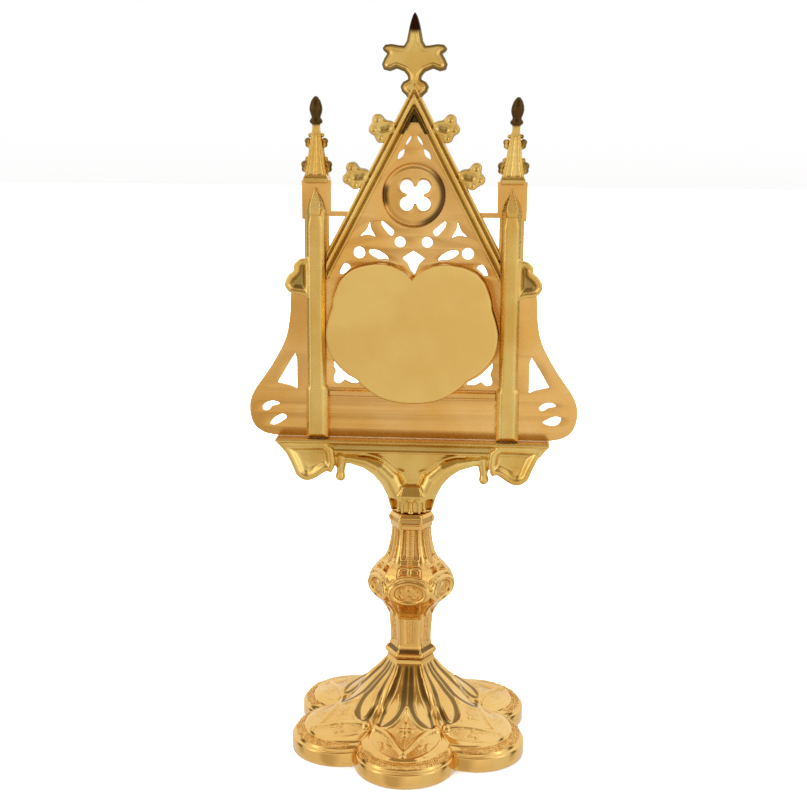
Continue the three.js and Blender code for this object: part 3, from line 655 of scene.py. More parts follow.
def foot_band_lines():
    """Four lines round one lobe for the grains of its rim band."""
    lines = []
    for radius, z in ((51.5, 9.62), (52.5, 9.28), (53.5, 8.82), (54.4, 8.3)):
        bearing = np.linspace(-0.445, 0.445, 60)
        reach = radius * foot_outline(bearing, radius)
        lines.append([(r * math.sin(t), -r * math.cos(t), z) for r, t in zip(reach, bearing)])
    return lines


def make_foot():
    look = bpy.context.scene.reliquary_shape
    columns = 6 * 80
    slope = flowing(
        [(9.4, 36.4), (12.2, 32), (16.4, 28), (20.8, 24.1), (25, 20.9), (28.4, 18.6), (32, 16.5), (36, 14.5),
        (40, 12.8), (44, 11.6), (50.2, 10.4)],
        13,
    )
    band = [(50.7, 10.05), (51.0, 9.7), (51.8, 9.45), (52.8, 9.1), (53.8, 8.6), (54.6, 8.1), (55.0, 7.7)]
    step = [(55.1, 7.1), (55.3, 6.8), (55.8, 6.72), (56.3, 6.55), (56.65, 6.1), (56.7, 5.4), (56.7, 4.0), (56.7, 2.4),
        (56.65, 0.5), (56.3, 0.1), (55.9, 0.0)]
    inside = [(54.6, 0.0), (54.3, 0.4), (54.2, 4.4), (53.4, 5.2), (44, 8.4), (34, 12.2), (24, 18), (16, 24.8),
        (8, 29.4), (2, 30.4)]
    top = [(1.5, 38), (5, 38), (8.7, 38), (9.1, 37.9), (9.2, 37.6)]
    profile = np.array([*top, *slope, *band, *step, *inside])
    angle = 2 * math.pi * np.arange(columns) / columns - math.pi / 2
    bearing = angle + math.pi / 2
    bearing = bearing - SIXTH * np.round(bearing / SIXTH)
    reach = profile[:, :1] * foot_outline(bearing[None, :], profile[:, :1])
    x, y = reach * np.cos(angle), reach * np.sin(angle)
    z = np.repeat(profile[:, 1:], columns, 1)
    a, o = lobe_place(x, y)
    height, grain, fan_shade = foot_relief(a, o)
    rows = np.arange(len(profile))[:, None]
    on_slope = (rows >= len(top)) & (rows < len(top) + len(slope))
    fade = smooth(profile[:, :1], 9.5, 10.4) * on_slope
    height = height * fade * look.foot_relief
    valley = ridge((SIXTH / 2 - np.abs(bearing)) * reach, 1.3, 0.35) * on_slope
    valley = valley * smooth(reach, 11, 14) * (1 - smooth(reach, 26, 33))
    grain = grain * fade
    along_x, along_y, along_z = (np.gradient(v, axis=0) for v in (x, y, z))
    round_x, round_y, round_z = (np.roll(v, -1, 1) - np.roll(v, 1, 1) for v in (x, y, z))
    nx = round_y * along_z - round_z * along_y
    ny = round_z * along_x - round_x * along_z
    nz = round_x * along_y - round_y * along_x
    lift = (height + valley) * np.where(nz < 0, -1, 1) / (np.sqrt(nx**2 + ny**2 + nz**2) + 1e-9)
    x, y, z = x + nx * lift, y + ny * lift, z + nz * lift
    vertices = np.stack([x, y, z], 2).reshape(-1, 3)
    faces = ring_faces(len(profile), columns)[:, ::-1]
    ends = len(vertices)
    vertices = np.vstack([vertices, [(0, 0, 38), (0, 0, 30.5)]])
    last = (len(profile) - 1) * columns
    caps = []
    for i in range(columns):
        j = (i + 1) % columns
        caps.append((ends, i, j))
        caps.append((ends + 1, last + j, last + i))
    piece = mesh_object("foot_casting", vertices, [*faces.tolist(), *caps], sharp=50)
    mark(piece, "grain", np.append(grain.reshape(-1), [0, 0]))
    # Painted shade: darker in the hollows of the lower foot and in the sunk fan.
    low = (vertices[:, 2] < 31) & (np.hypot(vertices[:, 0], vertices[:, 1]) < 50)
    fan_shaded = np.append((fan_shade * fade).reshape(-1), [0, 0])
    mark(piece, "painted_shade", np.maximum(0.45 * hollows(piece, 2.5, 0.05) * low, 0.72 * fan_shaded))
    finish = material_for("pale_gold")
    weld(piece, beading("band_grains", foot_band_lines(), 1.12, (0.5, 0.5, 0.42), finish, jitter=0.2, seed=7))
    return fit(piece, finish, "pale_gold", "foot")


# ---------- stem ----------

STEM_PROFILE = [
    (10.9, 38.3), (11.5, 38.9), (12.1, 39.7), (12.0, 40.6), (11.2, 41.8), (10.0, 43.2), (9.5, 44.6), (9.5, 48),
    (10.2, 57), (11.4, 60.6), (13.6, 63.4), (16.4, 65.8), (18.1, 69), (18.5, 72.4), (18.1, 76), (16.9, 79.4),
    (14.8, 82.0), (12.2, 84.4), (10.7, 87.4), (9.6, 92), (9.0, 96.6), (9.0, 99.6), (9.5, 100.7), (10.3, 101.6),
    (10.6, 102.8), (10.4, 103.8), (9.7, 104.8), (9.2, 105.8),
]


def facet_place(x, y):
    """Distance across and out on the nearest of the six flats, and the distance out on its neighbour."""
    turn = np.arctan2(y, x) + math.pi / 2
    side = turn - SIXTH * np.round(turn / SIXTH)
    reach = np.hypot(x, y)
    return np.abs(reach * np.sin(side)), reach * np.cos(side), reach * np.cos(SIXTH - np.abs(side))


def stem_flat(z):
    """Distance out of the stem's six flats at each height."""
    profile = np.array(STEM_PROFILE)
    return np.interp(z, profile[:, 1], profile[:, 0]) * math.cos(math.pi / SIDES)


def make_stem():
    wax = Wax((-19.6, -19.6, 38.2), (19.6, 19.6, 105.9), 0.4)
    low, high = (-19.4, -19.4), (19.4, 19.4)

    def body(x, y, z):
        across, out, neighbour = facet_place(x, y)
        flat = stem_flat(z)
        lean = np.cos(np.arctan(np.abs(np.gradient(flat.ravel(), 0.4)))).reshape(flat.shape)
        crisp = meet(out - flat, neighbour - flat, 0.9)
        soft = np.hypot(out, across) - flat * 1.075
        rounded = meet(meet(out - flat * 1.035, neighbour - flat * 1.035, 3.0), soft, 1.5)
        knop = smooth(z, 61.5, 67) * (1 - smooth(z, 80, 85))
        return meet((crisp + (rounded - crisp) * knop) * lean, np.abs(z - 72.05) - 33.75, 0.5)

    wax.add(body, (*low, 38.3), (*high, 105.8))

    def on_flats(distance, z0, z1, blend=0.3, cut=False):
        """Repeats a shape given by distance across, out and up on all six flats."""

        def folded(x, y, z):
            across, out, _ = facet_place(x, y)
            return distance(across, out, z)

        (wax.cut if cut else wax.add)(folded, (*low, z0), (*high, z1), blend)

    def sunk(inner, outer, z0, z1, depth, round_by=0.4):
        """A flat-bottomed recess between two distances across."""

        def distance(u, w, z):
            opening = meet(np.maximum(u - outer, inner - u), np.abs(z - (z0 + z1) / 2) - (z1 - z0) / 2, round_by)
            return meet(opening, stem_flat(z) - depth - w, 0.25)

        return distance

    on_flats(sunk(-1, 4.5, 101.7, 103.9, 1.0), 101, 104.4, 0.2, cut=True)
    on_flats(lambda u, w, z: meet(meet(u - 5.0, np.abs(z - 99.9) - 0.85, 0.4), w - stem_flat(99.9) - 0.35, 0.4), 98.6,
        101.4, 0.3)
    on_flats(sunk(1.9, 4.3, 85.6, 98.4, 1.25), 85, 99, 0.2, cut=True)
    # The raised band under the channels, its middle drop and the hollow below.
    on_flats(lambda u, w, z: meet(meet(u - 4.4, np.abs(z - 82.7) - 0.5, 0.3), w - stem_flat(82.7) - 0.75, 0.4), 81.6,
        84, 0.2)
    on_flats(sunk(-1, 4.2, 79.9, 82.0, 0.9, 0.9), 79.4, 82.2, 0.4, cut=True)
    drop = lambda u, w, z: np.sqrt((u / 1.15) ** 2 + (w - stem_flat(z) - 0.1) ** 2 + ((z - 81.5) / 1.9) ** 2) - 1.0
    on_flats(drop, 79, 84, 0.3)

    # Leaves that run down the corners and curl up over the ends of each brow.
    def corner_place(u, w):
        return u * math.cos(SIXTH / 2) - w * math.sin(SIXTH / 2), u * math.sin(SIXTH / 2) + w * math.cos(SIXTH / 2)

    def leaf(u, w, z):
        du, dw = corner_place(u, w)
        half = np.interp(z, [75.2, 76.4, 78.4, 81.4, 84, 87, 97], [1.6, 2.6, 3.6, 2.9, 1.9, 1.2, 0.9])
        rise = np.interp(z, [75, 76.4, 79, 82, 85, 97], [0.2, 0.55, 0.5, 0.45, 0.35, 0.2])
        skin = np.minimum(stem_flat(z) / math.cos(SIXTH / 2), 1.075 * stem_flat(z) + 0.2)
        return meet(np.abs(du) - half, dw - skin - rise, 0.7)

    on_flats(lambda u, w, z: np.maximum(leaf(u, w, z), 74.8 - z), 74.5, 97, 0.5)

    def brow(u, w, z):
        height = np.interp(u, [0, 2.6, 5.2, 7.4, 8.8, 10.4], [79.5, 79.4, 78.6, 77.2, 75.9, 75.6])
        out = np.interp(u, [0, 5, 7.4, 8.8, 10.4], [0.15, 0.1, 0.0, -0.35, -0.9])
        return np.hypot(z - height, w - stem_flat(z) * 1.035 - out) - 0.85

    on_flats(brow, 73.6, 81.2, 0.35)
    on_flats(lambda u, w, z: np.sqrt((u - 8.9) ** 2 + (w - 15.2) ** 2 + ((z - 75.6) / 0.85) ** 2) - 1.35, 73.6, 77.8,
        0.3)

    # The oval medallion, a broad smooth lip round a rosette on a grainy ground.
    def lip(u, w, z):
        ring = (np.hypot(u / 8.0, (z - 72.2) / 5.1) - 1) * 5.4
        return np.hypot(ring, (w - stem_flat(z) * 1.035) * 0.9) - 1.15

    on_flats(lip, 65, 79.5, 0.9)
    hollow = lambda u, w, z: meet((np.hypot(u / 6.0, (z - 72.3) / 3.9) - 1) * 4.4, 15.7 - w, 0.5)
    on_flats(hollow, 68, 77, 0.35, cut=True)

    def rosette(u, w, z):
        up = np.abs(z - 72.3)
        petals = melt(np.hypot(u - 2.45, (up - 1.35) * 1.1) - 1.7, np.hypot(u, up) - 1.3, 0.3)
        return meet(petals, np.abs(w - 15.5) - 0.8, 0.5)

    on_flats(rosette, 69, 76, 0.25)
    for u0, up0 in ((0.0, 0.0), (2.6, 1.4)):
        eye = lambda u, w, z: np.sqrt((u - u0) ** 2 + (np.abs(z - 72.3) - up0) ** 2 + (w - 16.6) ** 2) - 0.7
        on_flats(eye, 70, 75, 0.1, cut=True)

    # Pointed petals that hold the knop from below.
    def petals(u, w, z):
        side = np.abs(u - 3.0) - np.interp(z, [58.4, 60, 62, 65], [0.0, 1.0, 1.6, 1.9])
        middle = u - np.interp(z, [60.6, 61.6, 65], [0.0, 0.9, 1.4])
        return meet(np.minimum(side, middle), np.abs(w - stem_flat(z) - 0.15) - 0.7, 0.6)

    on_flats(petals, 57.8, 65.5, 0.4)
    on_flats(sunk(-1, 1.9, 45.4, 58.2, 0.3), 45, 58.6, 0.15, cut=True)
    on_flats(sunk(-1, 4.9, 41.0, 42.9, 0.75), 40.6, 43.4, 0.15, cut=True)
    piece = wax_object("stem_casting", wax)
    spots = vertex_spots(piece)
    across, out, _ = facet_place(spots[:, 0], spots[:, 1])
    z = spots[:, 2]
    between = lambda low, high: smooth(z, low - 0.3, low + 0.3) * (1 - smooth(z, high - 0.3, high + 0.3))
    oval = smooth(-(np.hypot(across / 6.4, (z - 72.3) / 4.3) - 1), -0.05, 0.1)
    leaves = between(76.4, 85) * smooth(across, 4.8, 5.6)
    pits = between(40.9, 43.0) * (across < 5.2)
    mark(piece, "grain", 0.05 + np.maximum.reduce([0.8 * oval, 0.6 * leaves, pits,
        0.3 * between(66, 79) * smooth(across, 8, 9)]))
    # Painted shade: darker in the hollows, on the floors of the sunk channels, and most in the sunk band of pits.
    floors = (out < stem_flat(z) - 0.7) & (across < 5)
    dark = np.maximum.reduce([0.5 * hollows(piece, 3.0, 0.04), 0.3 * floors * between(85.2, 104.2),
        0.75 * pits * floors])
    mark(piece, "painted_shade", dark)
    finish = material_for("pale_gold")
    reed = [(0, -stem_flat(h) - 0.1, h) for h in np.linspace(83.6, 98.4, 30)]
    weld(piece, beading("reeded_strips", [reed], 0.78, (1.85, 0.5, 0.34), finish))
    punched = [[(x, -stem_flat(h) + 0.28, h) for h in np.linspace(45.9, 57.9, 24)] for x in (-1.15, 0, 1.15)]
    weld(piece, beading("punched_strips", punched, 1.02, (0.42, 0.34, 0.34), finish, jitter=0.12, seed=3))
    return fit(piece, finish, "pale_gold", "stem")


# ---------- bracket ----------


BRACKET_FOOT = 106.1


def make_bracket():
    wax = Wax((-60.4, -8.2, 106.1), (60.4, 8.2, 139), 0.4)
    arch = flowing([(7.4, 107.2), (10, 115.2), (14, 120.6), (19, 124.5), (25.6, 126.6)], 5)
    web = within(mirrored([(0, 134.5), (36.5, 134.5), (36.2, 127.5), *[(x - 1.2, z + 1.0) for x, z in arch[::-1]],
        (5.5, 107)]))
    wax.add(cast(web, -1.7, 1.7, 0.4), (-37, -1.7, 106.1), (37, 1.7, 135))
    arm = [(33.5, 0, 129.4, 1.9), (27, 0, 129.2, 2.5), (20, 0, 128.0, 3.5), (14, 0, 125.3, 4.6), (9.2, 0, 120.6, 5.2),
        (6.4, 0, 114.6, 5.0), (4.8, 0, 107.6, 4.6)]
    wax.add(rod(arm, 1.25), (0, -6.6, 106.1), (36, 6.6, 132.5), 0.7, pair=True)
    for side in (-1, 1):
        bead_path = flowing([(23.5, 132.0), (18, 131.6), (12.3, 129.4), (7.4, 125.6), (3.6, 123.9)], 4)
        bead = [(x, 3.2 * side, z, 0.62) for x, z in bead_path]
        wax.add(rod(bead), (3, 3.2 * side - 0.7, 123), (24.2, 3.2 * side + 0.7, 133), 0.5, pair=True)

    # The neck: a six-sided drum with a small arcade, each arch split by a colonnette.
    def drum(x, y, z):
        _, out, neighbour = facet_place(x, y)
        flat = np.interp(z, [106, 107, 112, 114, 118], [7.0, 7.0, 7.3, 8.2, 6.0])
        return np.maximum(np.maximum(out, neighbour) - flat, z - 118)

    wax.add(drum, (-9.6, -8.2, 106.1), (9.6, 8.2, 118), 1.2)

    def arcade(x, y, z):
        across, out, _ = facet_place(x, y)
        crown = 112.6 - 0.5 * np.maximum(across - 0.6, 0) ** 1.6
        return np.maximum(np.maximum(across - 3.1, z - crown), 5.9 - out)

    wax.cut(arcade, (-9.6, -8.2, 105), (9.6, 8.2, 113), 0.3)

    def colonnette(x, y, z):
        across, out, _ = facet_place(x, y)
        return np.hypot(across, out - 6.3) - np.interp(z, [106, 107, 107.6, 111, 111.8, 113],
            [1.5, 1.5, 0.95, 0.95, 1.5, 1.7])

    wax.add(colonnette, (-9.6, -8.2, 106.1), (9.6, 8.2, 113), 0.2)
    # The pendant under each end of the arch.
    pendant = rod([(31.6, 0, 130, 2.6), (31.7, 0, 126, 2.3), (31.8, 0, 123.0, 1.8), (31.9, 0, 120.9, 2.3)], 1.1)
    wax.add(pendant, (28.8, -2.9, 118.4), (34.8, 2.9, 132), 0.7, pair=True)
    # The broad leaf under each end, a thick rim round a hammered hollow.
    console = flowing([(33.7, 128.4), (35.2, 123.9), (38.0, 124.0), (42.8, 120.9), (46.8, 119.8), (50.8, 122),
        (53.0, 126.8), (55.8, 132.4), (60.0, 137.0)], 5)
    leaf = within([*console, (38, 137.6), (34.5, 134.5)])
    wax.add(cast(leaf, -6.2, 6.2, 1.4, rim=1.7, hollow=2.2, both=True), (33, -6.2, 119.2), (60, 6.2, 137.8), 0.5,
        pair=True)
    curl = rod([(36.6, 0, 127.0, 2.1), (40.8, 0, 125.0, 2.4), (45.0, 0, 124.6, 2.2), (47.6, 0, 127.0, 1.6)], 2.0)
    wax.add(curl, (34, -5.2, 121), (50, 5.2, 130), 1.2, pair=True)
    # The cornice.
    half = [(7.2, 139.2), (7.2, 138.0), (6.5, 137.4), (4.9, 136.7), (4.1, 136.0), (3.8, 134.9), (4.1, 133.9),
        (4.7, 133.4), (4.4, 132.7)]
    section = within(half + [(-y, z) for y, z in half[::-1]])
    ends = within([(-60.2, 139.5), (60.2, 139.5), (60.2, 137.6), (56.5, 132.5), (-56.5, 132.5), (-60.2, 137.6)])
    cornice = lambda x, y, z: meet(meet(section(y, z), ends(x, z), 0.5), z - 139, 0.4)
    wax.add(cornice, (-60.2, -7.2, 132.6), (60.2, 7.2, 139), 0.5)
    wax.cut(lambda x, y, z: z - BRACKET_FOOT + 0 * x, (-12, -8.2, 105), (12, 8.2, BRACKET_FOOT))
    piece = wax_object("bracket_casting", wax)
    spots = vertex_spots(piece)
    # Painted shade: darker in the hollows and in the cornice's sunk channel.
    sunk = (np.abs(spots[:, 1]) < 5.2) * (spots[:, 2] > 133.3) * (spots[:, 2] < 136.2)
    mark(piece, "painted_shade", np.maximum(0.5 * hollows(piece, 3.0, 0.04), 0.25 * sunk))
    return fit(piece, material_for("cast_gold"), "cast_gold", "bracket")


# ---------- tracery plate ----------

GABLE_SLOPE = 0.526
PLATE_APEX = 288.2
QUATREFOIL_Z = 245.1
PLATE_FACE = 1.25


def almond(start, end, width, steps=10):
    """A pointed oval between two tips."""
    start, end = np.array(start, float), np.array(end, float)
    middle = (start + end) / 2
    run = (end - start) / np.hypot(*(end - start))
    side = np.array([-run[1], run[0]]) * width
    t = np.arange(steps)[:, None] / steps
    one = (1 - t) ** 2 * start + 2 * t * (1 - t) * (middle - side) + t**2 * end
    two = (1 - t) ** 2 * end + 2 * t * (1 - t) * (middle + side) + t**2 * start
    return np.vstack([one, two])


def round_hole(x, z, radius, steps=32):
    angle = 2 * math.pi * np.arange(steps) / steps
    return np.stack([x + radius * np.cos(angle), z + radius * np.sin(angle)], 1)


def rounded(points, steps=4):
    """A closed smooth outline through the given points."""
    ring = np.asarray(points, float)
    looped = np.vstack([ring[-2:], ring, ring[:3]])
    return flowing(looped, steps)[2 * steps : (2 + len(ring)) * steps]


def lobed_reach(lobes, angle):
    """How far the union of ellipses (x, z, rx, rz) reaches from the centre at each angle."""
    dx, dz = np.cos(angle), np.sin(angle)
    best = np.zeros_like(angle)
    for cx, cz, rx, rz in lobes:
        a = (dx / rx) ** 2 + (dz / rz) ** 2
        b = dx * cx / rx**2 + dz * cz / rz**2
        root = b * b - a * ((cx / rx) ** 2 + (cz / rz) ** 2 - 1)
        best = np.maximum(best, np.where(root < 0, 0, (b + np.sqrt(np.maximum(root, 0))) / a))
    return best


CAPSULE = (0.0, 186.0)
CAPSULE_STEPS = 300
CAPSULE_EDGE = [
    (0, 210.1), (2.8, 213.0), (5.2, 214.4), (9.5, 216.2), (14.7, 216.7), (20, 215.9), (23.8, 214.8), (26.9, 213.1),
    (30.5, 209.5), (32.5, 205), (33.7, 201), (34.1, 197.6), (35.4, 193.5), (36.3, 190), (36.8, 186.9), (36.6, 183),
    (35.5, 178.6), (33.4, 175), (29.8, 171), (26.5, 168.5), (23.4, 166.6), (22.0, 164.8), (19.2, 162.6), (15, 159.8),
    (10.6, 158.0), (5.1, 156.9), (0, 156.6),
]
ROUNDEL_RADIUS = 13.6
QUATREFOIL_LOBES = [(0.5, 0, 3.6, 3.6), *[(0.5 + 3.6 * i, 3.6 * k, 2.9, 2.9) for i in (-1, 1) for k in (-1, 1)]]


def capsule_reach(angle):
    """Reach of the capsule's outline from its middle at each angle."""
    edge = flowing(CAPSULE_EDGE, 6) - CAPSULE
    side = np.arctan2(np.sin(angle), np.abs(np.cos(angle)))
    return np.interp(side, np.arctan2(edge[::-1, 1], edge[::-1, 0]), np.hypot(edge[::-1, 0], edge[::-1, 1]))


def capsule_ring(grow, share=1.0, steps=CAPSULE_STEPS):
    angle = math.pi / 2 + 2 * math.pi * np.arange(steps) / steps
    reach = (capsule_reach(angle) + grow) * share
    return np.stack([CAPSULE[0] + reach * np.cos(angle), CAPSULE[1] + reach * np.sin(angle)], 1)


def cut_sheet(name, outlines, back, front, edge):
    """A flat sheet standing in the XZ plane, with its edges eased. The first outline is the outside."""
    curve = bpy.data.curves.new(name, "CURVE")
    curve.dimensions = "2D"
    curve.fill_mode = "BOTH"
    for outline in outlines:
        spline = curve.splines.new("POLY")
        spline.points.add(len(outline) - 1)
        spline.points.foreach_set("co", np.column_stack([outline, np.zeros(len(outline)),
            np.ones(len(outline))]).ravel())
        spline.use_cyclic_u = True
    curve.extrude = (front - back) / 2 - edge
    curve.bevel_depth = edge
    curve.bevel_resolution = 1
    curve.offset = -edge
    holder = bpy.data.objects.new(name, curve)
    bpy.context.scene.collection.objects.link(holder)
    bpy.context.view_layer.update()
    mesh = bpy.data.meshes.new_from_object(holder.evaluated_get(bpy.context.evaluated_depsgraph_get()))
    bpy.data.objects.remove(holder)
    bpy.data.curves.remove(curve)
    mesh.name = name
    upright = Matrix(((MM, 0, 0, 0), (0, 0, -MM, MM * (back + front) / 2), (0, MM, 0, 0), (0, 0, 0, 1)))
    mesh.transform(upright)
    piece = bpy.data.objects.new(name, mesh)
    bpy.context.scene.collection.objects.link(piece)
    return tidy_mesh(piece)


def weld(piece, *others):
    """Joins other objects into a piece."""
    work = bmesh.new()
    work.from_mesh(piece.data)
    for other in others:
        work.from_mesh(other.data)
        bpy.data.objects.remove(other)
    work.to_mesh(piece.data)
    work.free()
    return piece


def plate_outline():
    wing = flowing([(53.3, 200.5), (53.8, 192), (56, 182), (62.3, 170.4), (70.4, 158.4), (72.03, 150.6), (70.2, 144),
        (66, 140.6), (60.8, 139.3)], 8)
    edge = lambda z: (PLATE_APEX - z) * GABLE_SLOPE
    half = [(edge(275.4), 275.4), (edge(238.1), 238.1), (35.4, 238.1), (35.4, 251), (47.9, 251), (47.9, 234.6),
        (46.95, 234.6), (46.95, 207.5), (51.2, 207), (53.0, 204), *wing]
    return [(x, z) for x, z in half] + [(-x, z) for x, z in reversed(half)]


def piercings():
    """The openings of the right half; the left half mirrors them."""
    return [
        almond((3.7, 265.8), (1.1, 270.0), 1.1),
        almond((7.0, 260.0), (4.1, 264.4), 2.0),
        rounded([(8.4, 229.8), (9.6, 227.9), (11.6, 229.6), (13.6, 232.4), (13.4, 234.2), (10.4, 231.8)]),
        rounded([(10.7, 217.6), (11.8, 219.6), (15.3, 221.7), (18.6, 221.9), (19.1, 220.5), (16.9, 218.8),
            (13.2, 217.3)]),
        round_hole(5.8, 225.3, 2.3),
        round_hole(23.3, 220.6, 2.5),
        np.vstack([flowing([(18.8, 234.0), (18.2, 230.8), (16.2, 227.3)], 5)[:-1],
            flowing([(16.2, 227.3), (19.6, 228.3), (23.0, 227.6)], 5)[:-1],
            flowing([(23.0, 227.6), (20.2, 230.4), (18.8, 234.0)], 5)[:-1]]),
        rounded([(31.9, 211.6), (30.8, 214.4), (29.4, 216.0), (27.6, 215.2), (27.4, 213.8), (30.2, 211.4)]),
        np.array([(51.5, 176.3), (50.8, 173.4), (50.8, 160.2), (53.0, 161.4), (56.5, 162.3), (59.6, 162.9),
            (55.7, 169.6)]),
        np.array([(29.4, 235.9), (36.35, 235.9), (36.35, 222.8)]),
        np.vstack([flowing([(34.8, 173.4), (34.5, 170.4), (33.7, 168.3)], 4),
            flowing([(34.5, 166.4), (34.7, 164.5), (33.8, 163.3), (32.1, 163.2), (29.9, 164.9)], 4),
            flowing([(29.4, 164.5), (26.9, 163.4), (23.9, 163.5), (24.4, 164.9), (28.9, 167.5), (32.4, 170.7)], 4)]),
    ]


SCROLL_SLOTS = [
    [(-66.6, 151.7), (-64.5, 154), (-61.5, 154.8), (-58.8, 153.9), (-59.7, 152.9), (-62.2, 152.2), (-63.9, 150.4),
    (-65.7, 150.2)],
    [(-63.1, 144.7), (-61, 147.2), (-57.8, 148.9), (-55.9, 148.3), (-56.1, 146.9), (-58.6, 145.0), (-61, 143.8),
    (-62.7, 143.8)],
    [(55.4, 154.2), (57.7, 156.0), (60.6, 156.3), (62.6, 155.2), (61.8, 154.3), (59.5, 153.9), (57.2, 152.5),
    (55.9, 152.8)],
    [(57, 147.5), (59, 148.9), (61.9, 150.2), (64.5, 150.0), (65.0, 148.9), (64, 146.9), (62, 145.9), (59.1, 146.2)],
]


def make_tracery():
    right = piercings()
    left = [hole * (-1, 1) for hole in right]
    kite = np.array([(0, 221.6), (4.8, 218.5), (2.3, 216), (0.5, 211.6), (-0.5, 211.6), (-2.3, 216), (-4.8, 218.5)])
    outlines = [plate_outline(), *right, *left, *[rounded(slot) for slot in SCROLL_SLOTS],
        round_hole(0, QUATREFOIL_Z, ROUNDEL_RADIUS, 96), capsule_ring(-1.9), kite]
    plate = cut_sheet("tracery_sheet", outlines, -PLATE_FACE, PLATE_FACE, 0.22)
    # The roundel: a low collar round the quatrefoil inside a shallow round channel.
    columns = 192
    angle = 2 * math.pi * np.arange(columns) / columns
    inner = lobed_reach(QUATREFOIL_LOBES, angle)
    section = [
        (0.0, None, PLATE_FACE), (0.0, None, -0.35), (0.05, None, -0.62), (0.14, None, -0.66), (0.3, None, -0.5),
        (0.5, None, -0.3), (0.66, None, -0.35), (0.0, 9.6, -0.1), (0.0, 10.4, -0.2), (0.0, 11.4, -0.1),
        (0.0, 12.0, 0.25), (0.0, 12.6, 0.35), (0.0, 13.1, 0.0), (0.0, 13.35, -0.8), (0.0, 13.5, -1.2),
        (0.0, ROUNDEL_RADIUS, -PLATE_FACE), (0.0, ROUNDEL_RADIUS, PLATE_FACE),
    ]
    rows = []
    for share, fixed, y in section:
        reach = inner + (9.4 - inner) * share if fixed is None else np.maximum(np.full(columns, fixed), inner + 0.25)
        rows.append(np.stack([reach * np.cos(angle), np.full(columns, y), QUATREFOIL_Z + reach * np.sin(angle)], 1))
    roundel = mesh_object("roundel", np.vstack(rows), ring_faces(len(rows), columns, loop=True))
    tidy_mesh(roundel, 50)
    spots = vertex_spots(roundel)
    reach = np.hypot(spots[:, 0], spots[:, 2] - QUATREFOIL_Z)
    # Painted shadow: two dark crescents in the round channel, at the left and at the right.
    turn = np.arctan2(spots[:, 2] - QUATREFOIL_Z, spots[:, 0])
    crescent_shadows = np.maximum(smooth(-np.cos(turn), 0.9, 0.99), smooth(np.cos(turn + 0.25), 0.2, 0.75))
    mark(roundel, "painted_shade", 0.85 * crescent_shadows * smooth(reach, 11.0, 11.6) * (reach < 13.2))
    # The sill across the foot of the tracery.
    sill = Wax((-36.4, -3.4, 156.4), (36.4, -1.0, 161.6), 0.3)
    sill.add(bar(-36.4, 36.4, -2.9, -1.0, 158.0, 160.4, 0.3), (-36.4, -2.9, 158.0), (36.4, -1, 160.4))
    sill.add(bar(-36.4, 36.4, -2.1, -1.0, 156.8, 161.4, 0.3), (-36.4, -2.1, 156.8), (36.4, -1, 161.4), 0.3)
    behind = within(capsule_ring(-0.1, steps=120))
    sill.cut(lambda x, y, z: behind(x, z) + 0 * y, (-36.4, -3.4, 156.4), (36.4, -1, 161.6), 0.1)
    weld(plate, roundel, wax_object("sill", sill))
    return fit(plate, material_for("sheet_gold"), "sheet_gold", "tracery_plate")


# ---------- columns: buttresses behind, turrets in front ----------


def column_bar(back, front, bevel=1.6):
    """A tall bar with broad bevels along its back edges."""
    outline = within(mirrored([(0, 249.7), (1.0, 248.6), (1.9, 246.4), (3.4, 242.2), (4.4, 238.6), (4.3, 235.4),
        (4.1, 232.0), (4.1, 162.9), (4.9, 161.5), (4.9, 139.3)]))

    def distance(x, y, z):
        flat = outline(x, z)
        lean = np.interp(z, [232, 238, 249.7], [0.0, 0.2, 2.6])
        behind = back + lean - y
        width = np.interp(z, [159, 161, 163, 232, 238, 249], [1.9, 1.9, bevel, bevel, 2.9, 3.4])
        solid = meet(meet(flat, behind, 0.3), y - front, 0.2)
        return meet(solid, (flat + behind + width) * 0.7071, 0.35)

    return distance


def shoulder_leaf(wax, x0):
    """The curled leaf at the shoulder, a thick rolled rim round a dished face."""
    edge = [(44.2, 217.6), (46.6, 218.2), (48.9, 217.7), (51.3, 215.4), (51.3, 213.2), (53.8, 210.8), (55.3, 207.6),
        (54.6, 205.0), (52.6, 203.2), (48, 202.5), (44.2, 202.6)]
    outline = within(rounded([(x - x0, z) for x, z in edge], 3))
    wax.add(cast(outline, -5.6, -1.55, 1.2, rim=1.0, hollow=2.4), (43.5 - x0, -5.6, 202), (56.0 - x0, -1.55, 218.4),
        0.3)


